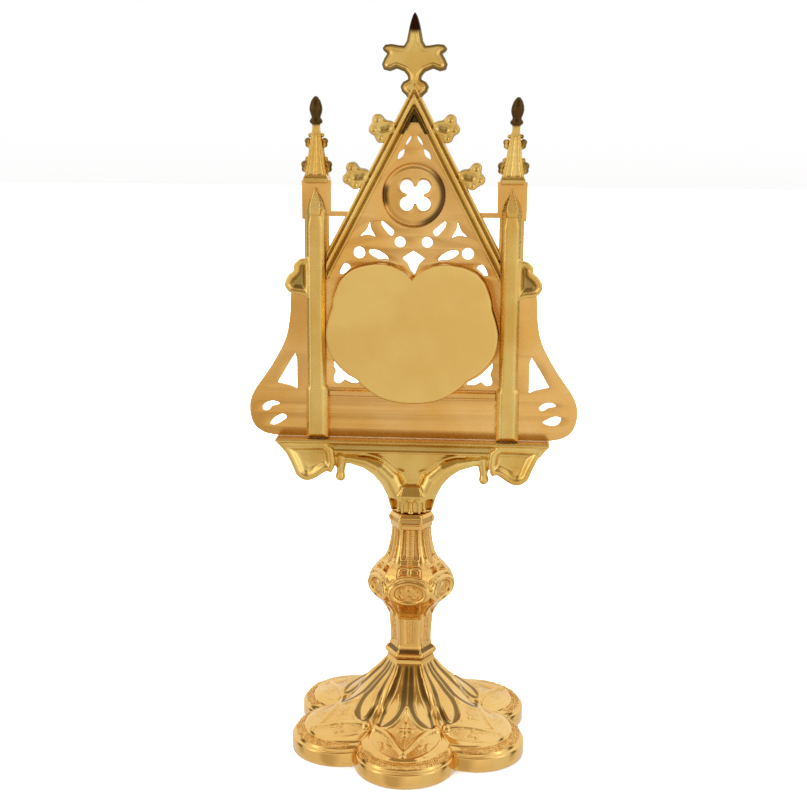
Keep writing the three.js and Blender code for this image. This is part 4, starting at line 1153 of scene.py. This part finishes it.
def make_buttresses():
    wax = Wax((-5, -6.1, 139.3), (14.4, -1.55, 249.8), 0.35)
    wax.add(column_bar(-6, -1.55), (-5, -6, 139.3), (5, -1.55, 249.7))
    # The weathering at the head: a small raised almond, cut off square below.
    head = within([(0, 248.6), (1.0, 245.6), (2.1, 242), (2.4, 239.4), (2.1, 236.6), (-2.1, 236.6), (-2.4, 239.4),
        (-2.1, 242), (-1.0, 245.6)])

    def almond_head(x, y, z):
        lean = np.interp(z, [232, 238, 249.4], [0.0, 0.2, 2.6])
        return meet(head(x, z), np.abs(y + 5.7 - lean) - 0.9, 0.4)

    wax.add(almond_head, (-2.6, -6.1, 236), (2.6, -3, 249), 0.2)
    shoulder_leaf(wax, COLUMN_X)
    made = []
    for side, name in ((1, "right_back_buttress"), (-1, "left_back_buttress")):
        vertices, faces = wax.skin()
        vertices = (vertices + (COLUMN_X, 0, 0)) * (side, 1, 1)
        piece = mesh_object(name + "_casting", vertices, faces if side > 0 else faces[:, ::-1])
        spots = vertex_spots(piece)
        # Painted shade in the hollows, and darker on the front part of the shoulder leaf.
        edge = (spots[:, 1] > -4.6) * (np.abs(spots[:, 0]) > 47)
        mark(piece, "grain", np.full(len(spots), 0.9))
        mark(piece, "painted_shade", np.maximum(0.6 * hollows(piece, 3.0, 0.05), 0.5 * edge))
        made.append(fit(piece, material_for("cast_gold"), "cast_gold", name))
    return made


def make_turrets():
    wax = Wax((-7.0, -6.0, 139.3), (7.0, 8.4, 286.3), 0.36)
    front_bar = column_bar(-6, -1.55)
    wax.add(lambda x, y, z: meet(front_bar(x, -y, z), z - 245, 0.2), (-5, 1.55, 139.3), (5, 6.1, 245))
    wax.add(bar(-4.2, 4.2, 1.55, 5.4, 236, 252, 0.5), (-4.2, 1.55, 236), (4.2, 5.4, 252))
    middle = 1.2
    spire_half = lambda z: np.interp(z, [251.5, 254, 258.5, 263.4, 267, 271.5, 274],
        [5.1, 4.5, 3.6, 3.05, 2.55, 1.75, 1.5])
    square = lambda x, y: np.maximum(np.abs(x), np.abs(y - middle))
    foot_plate = lambda x, y, z: square(x, y) - np.interp(z, [251.25, 251.7, 252.3, 253.0], [5.3, 5.4, 5.1, 4.8])
    wax.add(lambda x, y, z: meet(meet(foot_plate(x, y, z), 251.25 - z, 0.3), z - 253, 0.3), (-5.6, -4.4, 251.25),
        (5.6, 6.8, 253))
    wax.add(lambda x, y, z: meet((square(x, y) - spire_half(z)) * 0.97, z - 274, 0.4), (-5.3, -4.1, 251.5),
        (5.3, 6.5, 274), 0.3)

    def face_hollows(x, y, z):
        """Two flutes down each face, either side of a middle ridge, inside raised edges."""
        u, v = np.abs(x), np.abs(y - middle)
        side, reach = np.minimum(u, v), np.maximum(u, v)
        room = spire_half(z) - 0.85
        flute = np.sqrt(np.maximum(0.0, 1 - ((side - room / 2) / np.maximum(room / 2, 0.2)) ** 2))
        depth = (0.35 + 0.22 * room) * flute  # wider faces are cut deeper
        return meet(meet(spire_half(z) - depth - reach, side - room, 0.2), np.abs(z - 261.6) - 8.6, 0.6)

    wax.cut(face_hollows, (-5.3, -4.1, 252.8), (5.3, 6.5, 270.4), 0.25)
    # Three crockets round the spire at two heights, each a knob over a broad curled leaf.
    for knobs in (((3.8, 260.0, 1.1), (4.9, 257.6, 1.8), (5.0, 255.6, 1.5), (4.0, 254.7, 1.1)),
        ((2.5, 269.8, 1.0), (3.6, 267.4, 1.45), (3.5, 265.8, 1.25), (2.8, 265.2, 1.0))):
        for dx, dy in ((1, 0), (0, 1), (-1, 0)):
            for out, z0, r in knobs:
                cx, cy = dx * out, middle + dy * out
                wax.add(ball(cx, cy, z0, r, r, r * 0.95), (cx - r, cy - r, z0 - r), (cx + r, cy + r, z0 + r), 0.35)
    bud = [(1.5, 272), (1.7, 273.6), (1.75, 274.3), (2.6, 274.9), (2.85, 275.5), (2.5, 276.3), (1.85, 277.1),
        (2.0, 277.7), (2.5, 279), (2.8, 280.5), (2.6, 282.2), (1.9, 284.2), (0.9, 285.6), (0.3, 286.0)]

    def bud_shape(x, y, z):
        radius = np.interp(z, [p[1] for p in bud], [p[0] for p in bud])
        return meet(np.hypot(x, y - middle) - radius, z - 286.0, 0.3)

    wax.add(bud_shape, (-2.9, -1.7, 272), (2.9, 4.1, 286.0), 0.2)
    made = []
    for side, name, lean in ((1, "right_front_turret", 1.7), (-1, "left_front_turret", 0.2)):
        vertices, faces = wax.skin()
        vertices[:, 0] += COLUMN_X + lean * np.clip((vertices[:, 2] - 251) / 35, 0, 1) ** 1.3
        piece = mesh_object(name + "_casting", vertices * (side, 1, 1), faces if side > 0 else faces[:, ::-1])
        spots = vertex_spots(piece)
        # Painted dark reflections on the bud and the crockets, and painted shade in the hollows.
        dark = 0.9 * smooth(spots[:, 2], 273.2, 274.6)
        beyond = np.abs(np.abs(spots[:, 0]) - COLUMN_X) - spire_half(spots[:, 2])
        dark = np.maximum(dark, 0.7 * smooth(beyond, 0.5, 1.6) * (spots[:, 2] > 253))
        mark(piece, "grain", 0.9 * (spots[:, 2] < 251) + 0.3)
        mark(piece, "painted_shade", np.maximum(0.9 * hollows(piece, 3.5, 0.04), dark))
        made.append(fit(piece, material_for("cast_gold"), "cast_gold", name))
    return made


# ---------- gable ----------

OUTER_APEX = 291.2
INNER_APEX = 278.9
RAIL_WIDTH = (OUTER_APEX - INNER_APEX) * math.sin(math.atan(GABLE_SLOPE))


def make_gable():
    wax = Wax((-38, -5.7, 206.8), (38, 5.7, 320.2), 0.38)
    slant = math.hypot(1, GABLE_SLOPE)
    section = within([
        (0, 1.55), (0, 3.4), (0.35, 3.95), (0.9, 4.0), (1.15, 3.2), (1.5, 3.1), (1.9, 4.7), (2.6, 5.4), (3.3, 5.15),
        (3.9, 4.2), (4.15, 2.9), (4.5, 2.7), (4.75, 3.4), (5.2, 3.6), (RAIL_WIDTH, 3.3), (RAIL_WIDTH, 1.55),
    ])

    def rail(x, y, z):
        inward = (OUTER_APEX - z) * GABLE_SLOPE / slant - np.abs(x) / slant
        return meet(section(inward, np.abs(y)), np.abs(x) - 37.2, 0.3)

    wax.add(rail, (-37.4, -5.6, 207.5), (37.4, 5.6, 291.4))
    link = lambda x, y, z: meet(meet((OUTER_APEX - z) * -GABLE_SLOPE / slant + np.abs(x) / slant, 238.4 - z, 0.1),
        np.abs(y) - 2.0, 0.1)
    inner = lambda x, y, z: (INNER_APEX - z) * GABLE_SLOPE / slant - np.abs(x) / slant
    wax.add(lambda x, y, z: meet(link(x, y, z), inner(x, y, z), 0.1), (-28, -2, 238.4), (28, 2, 291.4))
    web = lambda x, y, z: np.maximum(np.maximum((np.abs(x) - (INNER_APEX + 1 - z) * GABLE_SLOPE) / slant, 273 - z),
        np.abs(y - 2.5) - 0.95)
    wax.add(web, (-4, 1.55, 273), (4, 3.5, 280))
    # Crockets: three-knobbed leaves, thick rims round a dished back.
    for leaf in (
        discs((10.8, 273.2, 2.9), (13.4, 272.6, 2.8), (15.3, 276.5, 2.3), (16.9, 272.4, 2.2), (14.0, 268.9, 2.1),
            blend=2.2),
        discs((21.6, 253.2, 2.9), (24.4, 252.8, 2.8), (26.3, 256.6, 2.3), (27.9, 251.8, 2.2), (24.7, 249.5, 2.1),
            blend=2.2),
    ):
        wax.add(cast(leaf, -4.6, 3.8, 1.1, rim=0.9, hollow=1.0, both=True), (7.6, -4.6, 246.5), (30.4, 3.8, 279.6),
            0.4, pair=True)
    # The finial cross.
    cross = within(mirrored([
        (0, 319.8), (0.9, 318.3), (1.5, 316.5), (2.0, 314.7), (2.7, 311.5), (3.3, 308.3), (4.5, 306.3), (6.6, 306.5),
        (9.6, 307.0), (12.2, 306.7), (13.4, 305.3), (12.9, 304.2), (11.4, 303.1),
        (12.6, 301.2), (13.6, 298.9), (12.9, 296.7), (10.4, 296.1), (7.6, 297.2), (4.3, 295.9), (2.9, 294.2),
        (2.7, 292.8), (4.7, 291.8), (5.9, 289.9), (5.1, 287.7), (3.3, 286.1), (2.9, 284.4), (0, 282),
    ]))
    wax.add(cast(cross, -3.6, 3.6, 1.0, rim=0.9, hollow=1.0, both=True), (-14, -3.6, 282), (14, 3.6, 320), 0.4)
    plate_slot = lambda x, y, z: np.maximum(np.maximum((np.abs(x) - (PLATE_APEX + 0.6 - z) * GABLE_SLOPE) / slant,
        z - 275.7), np.abs(y) - 1.5)
    wax.cut(plate_slot, (-37, -1.5, 207), (37, 1.5, 275.7))
    wax.cut(lambda x, y, z: np.maximum(np.abs(y) - 1.5, z - 238.4) + 0 * x, (-38, -1.5, 207), (38, 1.5, 238.4))
    piece = wax_object("gable_casting", wax)
    spots = vertex_spots(piece)
    x, y, z = np.abs(spots[:, 0]), spots[:, 1], spots[:, 2]
    # Painted shade and dark reflections: on the finial's rim and top, the crockets, two grooves along the rails, the
    # corner under the apex and the hollows.
    rim = smooth(cross(spots[:, 0], z), -1.5, -0.7)
    dark = (z > 285.5) * np.maximum(0.75 * rim, smooth(z, 310.5, 313))
    inward = (OUTER_APEX - z) * GABLE_SLOPE / slant - x / slant
    edges = (inward < -0.5) * (z < 285) * smooth(3.4 - np.abs(y + 0.3), -0.8, 0.6)
    groove = np.maximum(1 - np.abs(inward - 1.3) / 0.4, 1 - np.abs(inward - 4.3) / 0.45)
    apex = (z > 270.5) * (inward > 4.6) * (z < 282)
    mark(piece, "grain", 0.35 + 0.5 * (inward > 1.6) * (inward < 4.0))
    mark(piece, "painted_shade", np.maximum.reduce([0.45 * hollows(piece, 3.0, 0.05), dark, 0.75 * edges,
        0.55 * np.clip(groove, 0, 1), 0.9 * apex]))
    return fit(piece, material_for("cast_gold"), "cast_gold", "gable")


# ---------- capsule ----------


# Shares of the outline at which a plate's flat back has its rings.
BACK_RINGS = (0.97, 0.9, 0.75, 0.55, 0.3)


def capsule_grid(rows, steps=CAPSULE_STEPS):
    """Rings of the capsule's outline at (growth, share, y) steps, as vertices."""
    rings = [(capsule_ring(grow, share, steps), y) for grow, share, y in rows]
    return np.vstack([np.stack([ring[:, 0], np.full(steps, y), ring[:, 1]], 1) for ring, y in rings])


def closed_ring(name, rows, sharp=30, steps=CAPSULE_STEPS):
    """A ring that follows the capsule's outline, its section given by (growth, share, y)."""
    return tidy_mesh(mesh_object(name, capsule_grid(rows, steps), ring_faces(len(rows), steps, loop=True)), sharp)


def closed_plate(name, rows, back_y, sharp=30, steps=CAPSULE_STEPS):
    """A plate of the capsule's outline: its face and its edge by rows, its back flat."""
    rows = [*rows, *[(rows[-1][0], share, back_y) for share in BACK_RINGS]]
    grid = capsule_grid(rows, steps)
    faces = ring_faces(len(rows), steps).tolist()
    start, end = len(grid), len(grid) + 1
    grid = np.vstack([grid, [(CAPSULE[0], rows[0][2], CAPSULE[1]), (CAPSULE[0], back_y, CAPSULE[1])]])
    tail = (len(rows) - 1) * steps
    for i in range(steps):
        j = (i + 1) % steps
        faces.append([start, j, i])
        faces.append([end, tail + i, tail + j])
    return tidy_mesh(mesh_object(name, grid, faces), sharp)


def make_capsule():
    wall = [(-1.7, 1, 8.2), (-1.7, 1, -8.4), (-1.5, 1, -8.6), (-0.8, 1, -8.6), (-0.6, 1, -8.4), (-0.6, 1, -3.4),
        (-0.3, 1, -2.4), (0.3, 1, -1.8), (0.4, 1, -1.3), (-0.5, 1, -1.3), (-0.5, 1, 8.0), (-0.7, 1, 8.2)]
    case = closed_ring("capsule_case_casting", wall)
    fit(case, material_for("cast_gold"), "cast_gold", "capsule_case")
    face = [(0, share, -10.4) for share in (0.25, 0.5, 0.7, 0.85, 0.93, 0.965)]
    face += [(-0.75, 1, -10.4), (-0.4, 1, -10.34), (-0.14, 1, -10.1), (0.0, 1, -9.8), (0.0, 1, -9.2), (-0.2, 1, -8.9)]
    lid = closed_plate("capsule_lid_sheet", face, -8.9)
    fit(lid, material_for("lid_gold"), "lid_gold", "capsule_lid")
    pane = [(-2.3, 0.4, 6.7), (-2.3, 0.8, 6.7), (-2.3, 1, 6.7), (-2.1, 1, 6.9), (-2.1, 1, 8.0), (-2.3, 1, 8.2)]
    glass = closed_plate("window_pane", pane, 8.2)
    fit(glass, material_for("clear_glass"), "clear_glass", "window_glass")
    bezel = closed_ring(
        "window_bezel_casting",
        [(0.0, 1, 8.5), (0.4, 1, 8.9), (0.4, 1, 9.6), (0.0, 1, 10.1), (-0.5, 1, 10.3), (-1.4, 1, 10.1), (0, 0.9, 9.4),
        (0, 0.875, 9.5), (0, 0.862, 9.3), (0, 0.86, 8.9), (0, 0.862, 8.5)],
    )
    fit(bezel, material_for("cast_gold"), "cast_gold", "window_bezel")
    return case, lid, glass, bezel


# ---------- stage ----------

CAMERA_PLACE = (36.0, -558.7, 276.5)
CAMERA_TURN = 0.0714
CAMERA_PITCH = 0.2144
CAMERA_ROLL = 0.0060
CAMERA_LENS = 58.19


def pale_paint():
    """Matt white-painted board: an even pale ground with the faintest mottle."""
    material, tree = blank_material("matt_white_painted_board")
    place = node(tree, "ShaderNodeTexCoord").outputs["Object"]
    mottle = node(tree, "ShaderNodeTexNoise", {"Vector": place, "Scale": per_metre(40), "Detail": 3.0})
    tone = node(tree, "ShaderNodeMixRGB", {"Fac": mottle.outputs["Fac"], "Color1": linear("#f4f3f1"),
        "Color2": linear("#f8f7f5")})
    shader = node(tree, "ShaderNodeBsdfPrincipled", {"Base Color": tone.outputs[0], "Roughness": 0.8})
    node(tree, "ShaderNodeOutputMaterial", {"Surface": shader.outputs[0]})
    return material


def soft_light(name, place, aim, size, power):
    """A square lamp that lights the floor but leaves no bright square in the polished metal."""
    light = bpy.data.lights.new(name, "AREA")
    light.size = size
    light.energy = power
    lamp = bpy.data.objects.new(name, light)
    lamp.location = place
    lamp.rotation_euler = (Vector(aim) - Vector(place)).to_track_quat("-Z", "Y").to_euler()
    lamp.visible_glossy = False
    bpy.context.scene.collection.objects.link(lamp)
    return lamp


# Parts of the room, as (left, right, low, high, softness) in degrees round the piece and its colour.
# Nought degrees is straight behind the piece, on the side of the capsule's lid.
ROOM = [
    (-200, 200, -95, -6, 6, (0.82, 0.80, 0.76)),
    (-42, 42, -38, 10, 8, (0.76, 0.69, 0.58)),
    (-42, -8, -60, -8, 8, (0.60, 0.53, 0.44)),
    (3, 40, -30, 12, 6, (0.92, 0.88, 0.80)),
    (-46, 46, 22, 78, 9, (0.36, 0.27, 0.16)),
    (-108, -92, -25, 35, 6, (0.14, 0.10, 0.06)),
    (92, 108, -25, 35, 6, (0.14, 0.10, 0.06)),
    (-69, -56, -5, 45, 4, (2.1, 2.05, 1.95)),
    (60, 71, 0, 42, 4, (1.9, 1.85, 1.75)),
]


def room_light():
    """A white room: bright all round, dim above the side of the lid, with two tall bright windows at the sides."""
    look = bpy.context.scene.reliquary_stage
    world = bpy.data.worlds.new("white_room")
    bpy.context.scene.world = world
    world.use_nodes = True
    tree = world.node_tree
    tree.nodes.clear()
    way = node(tree, "ShaderNodeSeparateXYZ", {"Vector": node(tree, "ShaderNodeTexCoord").outputs["Generated"]})
    back = node(tree, "ShaderNodeMath", {0: way.outputs["Y"], 1: -1.0}, operation="MULTIPLY")
    bearing = node(tree, "ShaderNodeMath", {0: way.outputs["X"], 1: back.outputs[0]}, operation="ARCTAN2").outputs[0]
    rise = node(tree, "ShaderNodeMath", {0: way.outputs["Z"]}, operation="ARCSINE").outputs[0]

    def step(value, low, high):
        inputs = {"Value": value, "From Min": math.radians(low), "From Max": math.radians(high)}
        return node(tree, "ShaderNodeMapRange", inputs, interpolation_type="SMOOTHSTEP").outputs[0]

    colour = (*[look.room_brightness] * 3, 1)
    for left, right, low, high, soft, tint in ROOM:
        sides = [step(bearing, left - soft, left + soft), step(bearing, right + soft, right - soft),
            step(rise, low - soft, low + soft), step(rise, high + soft, high - soft)]
        share = sides[0]
        for side in sides[1:]:
            share = node(tree, "ShaderNodeMath", {0: share, 1: side}, operation="MULTIPLY").outputs[0]
        colour = node(tree, "ShaderNodeMixRGB", {"Fac": share, "Color1": colour, "Color2": (*tint, 1)}).outputs[0]
    ground = node(tree, "ShaderNodeBackground", {"Color": colour, "Strength": 1.0})
    node(tree, "ShaderNodeOutputWorld", {"Surface": ground.outputs[0]})


def make_stage():
    look = bpy.context.scene.reliquary_stage
    scene = bpy.context.scene
    left, right, near, far = -3000, 3000, -1300, 5000
    floor = mesh_object("pale_floor", [(left, near, 0), (right, near, 0), (right, far, 0), (left, far, 0)],
        [(0, 1, 2, 3)])
    floor.data.materials.append(pale_paint())
    floor.visible_glossy = False
    room_light()
    soft_light("overhead_light", (-0.3, 0.4, 2.0), (0, 0.6, 0), 2.5, look.overhead_power)
    soft_light("far_light", (0, 2.8, 2.2), (0, 3.0, 0), 3.5, look.far_power)
    camera = bpy.data.objects.new("camera", bpy.data.cameras.new("camera"))
    turn, pitch, roll = CAMERA_TURN, CAMERA_PITCH, CAMERA_ROLL
    ahead = Vector((-math.sin(turn) * math.cos(pitch), math.cos(turn) * math.cos(pitch), -math.sin(pitch)))
    level = ahead.cross(Vector((0, 0, 1))).normalized()
    up = level.cross(ahead)
    across = level * math.cos(roll) + up * math.sin(roll)
    upward = up * math.cos(roll) - level * math.sin(roll)
    placed = Matrix((across, upward, -ahead)).transposed().to_4x4()
    placed.translation = Vector(CAMERA_PLACE) * MM
    camera.matrix_world = placed
    camera.data.lens = CAMERA_LENS
    camera.data.clip_start = 0.01
    scene.collection.objects.link(camera)
    scene.camera = camera
    scene.view_settings.view_transform = "Standard"
    scene.view_settings.look = "None"


# ---------- settings ----------


def colour_setting(name, description, hex_colour):
    return bpy.props.FloatVectorProperty(name=name, description=description, default=linear(hex_colour),
        subtype="COLOR", size=4, min=0, max=1)


class ReliquaryFinish(bpy.types.PropertyGroup):
    pale: colour_setting("Polished gold", "Foot and stem", "#f0c67a")
    pale_deep: colour_setting("Polished gold, deep", "Foot and stem where the plate is thicker", "#e9b968")
    cast: colour_setting("Cast gold", "Bracket, columns and gable", "#edcd7e")
    cast_deep: colour_setting("Cast gold, deep", "Castings where the plate is thicker", "#dfb560")
    sheet: colour_setting("Sheet gold", "Tracery plate", "#eec17a")
    sheet_deep: colour_setting("Sheet gold, deep", "Tracery plate where the plate is thicker", "#e6b261")
    lid: colour_setting("Lid gold", "Capsule lid", "#f7d482")
    lid_deep: colour_setting("Lid gold, deep", "Capsule lid where the plate is thicker", "#f0c876")
    # The colour painted in as shade in the hollows and as dark reflections on the tips.
    painted_shade: colour_setting("Painted shade", "Painted shade in the hollows and dark reflections on tips", "#30180a")


class ReliquaryShape(bpy.types.PropertyGroup):
    foot_relief: bpy.props.FloatProperty(name="Foot relief", description="How boldly the foot's ornament is chased",
        default=1.0, min=0.0, max=1.5)


class ReliquaryStage(bpy.types.PropertyGroup):
    room_brightness: bpy.props.FloatProperty(name="Room brightness", description="How bright the white room is",
        default=1.0, min=0.0, max=3.0)
    overhead_power: bpy.props.FloatProperty(name="Overhead light", description="Power of the light above the piece",
        default=80.0, min=0.0, unit="POWER")
    far_power: bpy.props.FloatProperty(name="Far light", description="Power of the light over the floor behind",
        default=170.0, min=0.0, unit="POWER")


# ---------- operators and panel ----------


class Maker:
    """Runs an operator's own maker. A maker that fails stops the script."""

    def execute(self, context):
        self.make()
        return {"FINISHED"}


class RELIQUARY_OT_stage(Maker, bpy.types.Operator):
    """Makes the pale floor, the soft light and the camera."""

    bl_idname = "reliquary.stage"
    bl_label = "Stage"
    make = staticmethod(make_stage)


class RELIQUARY_OT_foot(Maker, bpy.types.Operator):
    """Makes the six-lobed foot with its chased relief."""

    bl_idname = "reliquary.foot"
    bl_label = "Foot"
    make = staticmethod(make_foot)


class RELIQUARY_OT_stem(Maker, bpy.types.Operator):
    """Makes the six-sided stem with its knop."""

    bl_idname = "reliquary.stem"
    bl_label = "Stem"
    make = staticmethod(make_stem)


class RELIQUARY_OT_bracket(Maker, bpy.types.Operator):
    """Makes the bracket that carries the shrine."""

    bl_idname = "reliquary.bracket"
    bl_label = "Bracket"
    make = staticmethod(make_bracket)


class RELIQUARY_OT_tracery(Maker, bpy.types.Operator):
    """Makes the pierced plate with its wings."""

    bl_idname = "reliquary.tracery"
    bl_label = "Tracery plate"
    make = staticmethod(make_tracery)


class RELIQUARY_OT_buttresses(Maker, bpy.types.Operator):
    """Makes the two back columns with their shoulder leaves."""

    bl_idname = "reliquary.buttresses"
    bl_label = "Buttresses"
    make = staticmethod(make_buttresses)


class RELIQUARY_OT_turrets(Maker, bpy.types.Operator):
    """Makes the two front columns with their pinnacles."""

    bl_idname = "reliquary.turrets"
    bl_label = "Turrets"
    make = staticmethod(make_turrets)


class RELIQUARY_OT_gable(Maker, bpy.types.Operator):
    """Makes the gable with its crockets and finial."""

    bl_idname = "reliquary.gable"
    bl_label = "Gable"
    make = staticmethod(make_gable)


class RELIQUARY_OT_capsule(Maker, bpy.types.Operator):
    """Makes the capsule's case, lid, window and bezel."""

    bl_idname = "reliquary.capsule"
    bl_label = "Capsule"
    make = staticmethod(make_capsule)


OPERATORS = [
    RELIQUARY_OT_stage,
    RELIQUARY_OT_foot,
    RELIQUARY_OT_stem,
    RELIQUARY_OT_bracket,
    RELIQUARY_OT_tracery,
    RELIQUARY_OT_buttresses,
    RELIQUARY_OT_turrets,
    RELIQUARY_OT_gable,
    RELIQUARY_OT_capsule,
]


class RELIQUARY_PT_panel(bpy.types.Panel):
    """Lists the pieces and their settings."""

    bl_label = "Reliquary"
    bl_idname = "RELIQUARY_PT_panel"
    bl_space_type = "VIEW_3D"
    bl_region_type = "UI"
    bl_category = "Reliquary"

    def draw(self, context):
        for group in (context.scene.reliquary_shape, context.scene.reliquary_finish, context.scene.reliquary_stage):
            box = self.layout.box()
            for name in group.__annotations__:
                box.prop(group, name)
        for made in OPERATORS:
            self.layout.operator(made.bl_idname)


CLASSES = [ReliquaryFinish, ReliquaryShape, ReliquaryStage, *OPERATORS, RELIQUARY_PT_panel]


def register():
    for cls in CLASSES:
        bpy.utils.register_class(cls)
    bpy.types.Scene.reliquary_finish = bpy.props.PointerProperty(type=ReliquaryFinish)
    bpy.types.Scene.reliquary_shape = bpy.props.PointerProperty(type=ReliquaryShape)
    bpy.types.Scene.reliquary_stage = bpy.props.PointerProperty(type=ReliquaryStage)


def unregister():
    for name in ("reliquary_stage", "reliquary_shape", "reliquary_finish"):
        delattr(bpy.types.Scene, name)
    for cls in reversed(CLASSES):
        bpy.utils.unregister_class(cls)


def main():
    register()
    bpy.ops.reliquary.stage()
    bpy.ops.reliquary.foot()
    bpy.ops.reliquary.stem()
    bpy.ops.reliquary.bracket()
    bpy.ops.reliquary.tracery()
    bpy.ops.reliquary.buttresses()
    bpy.ops.reliquary.turrets()
    bpy.ops.reliquary.gable()
    bpy.ops.reliquary.capsule()


if __name__ == "__main__":
    main()
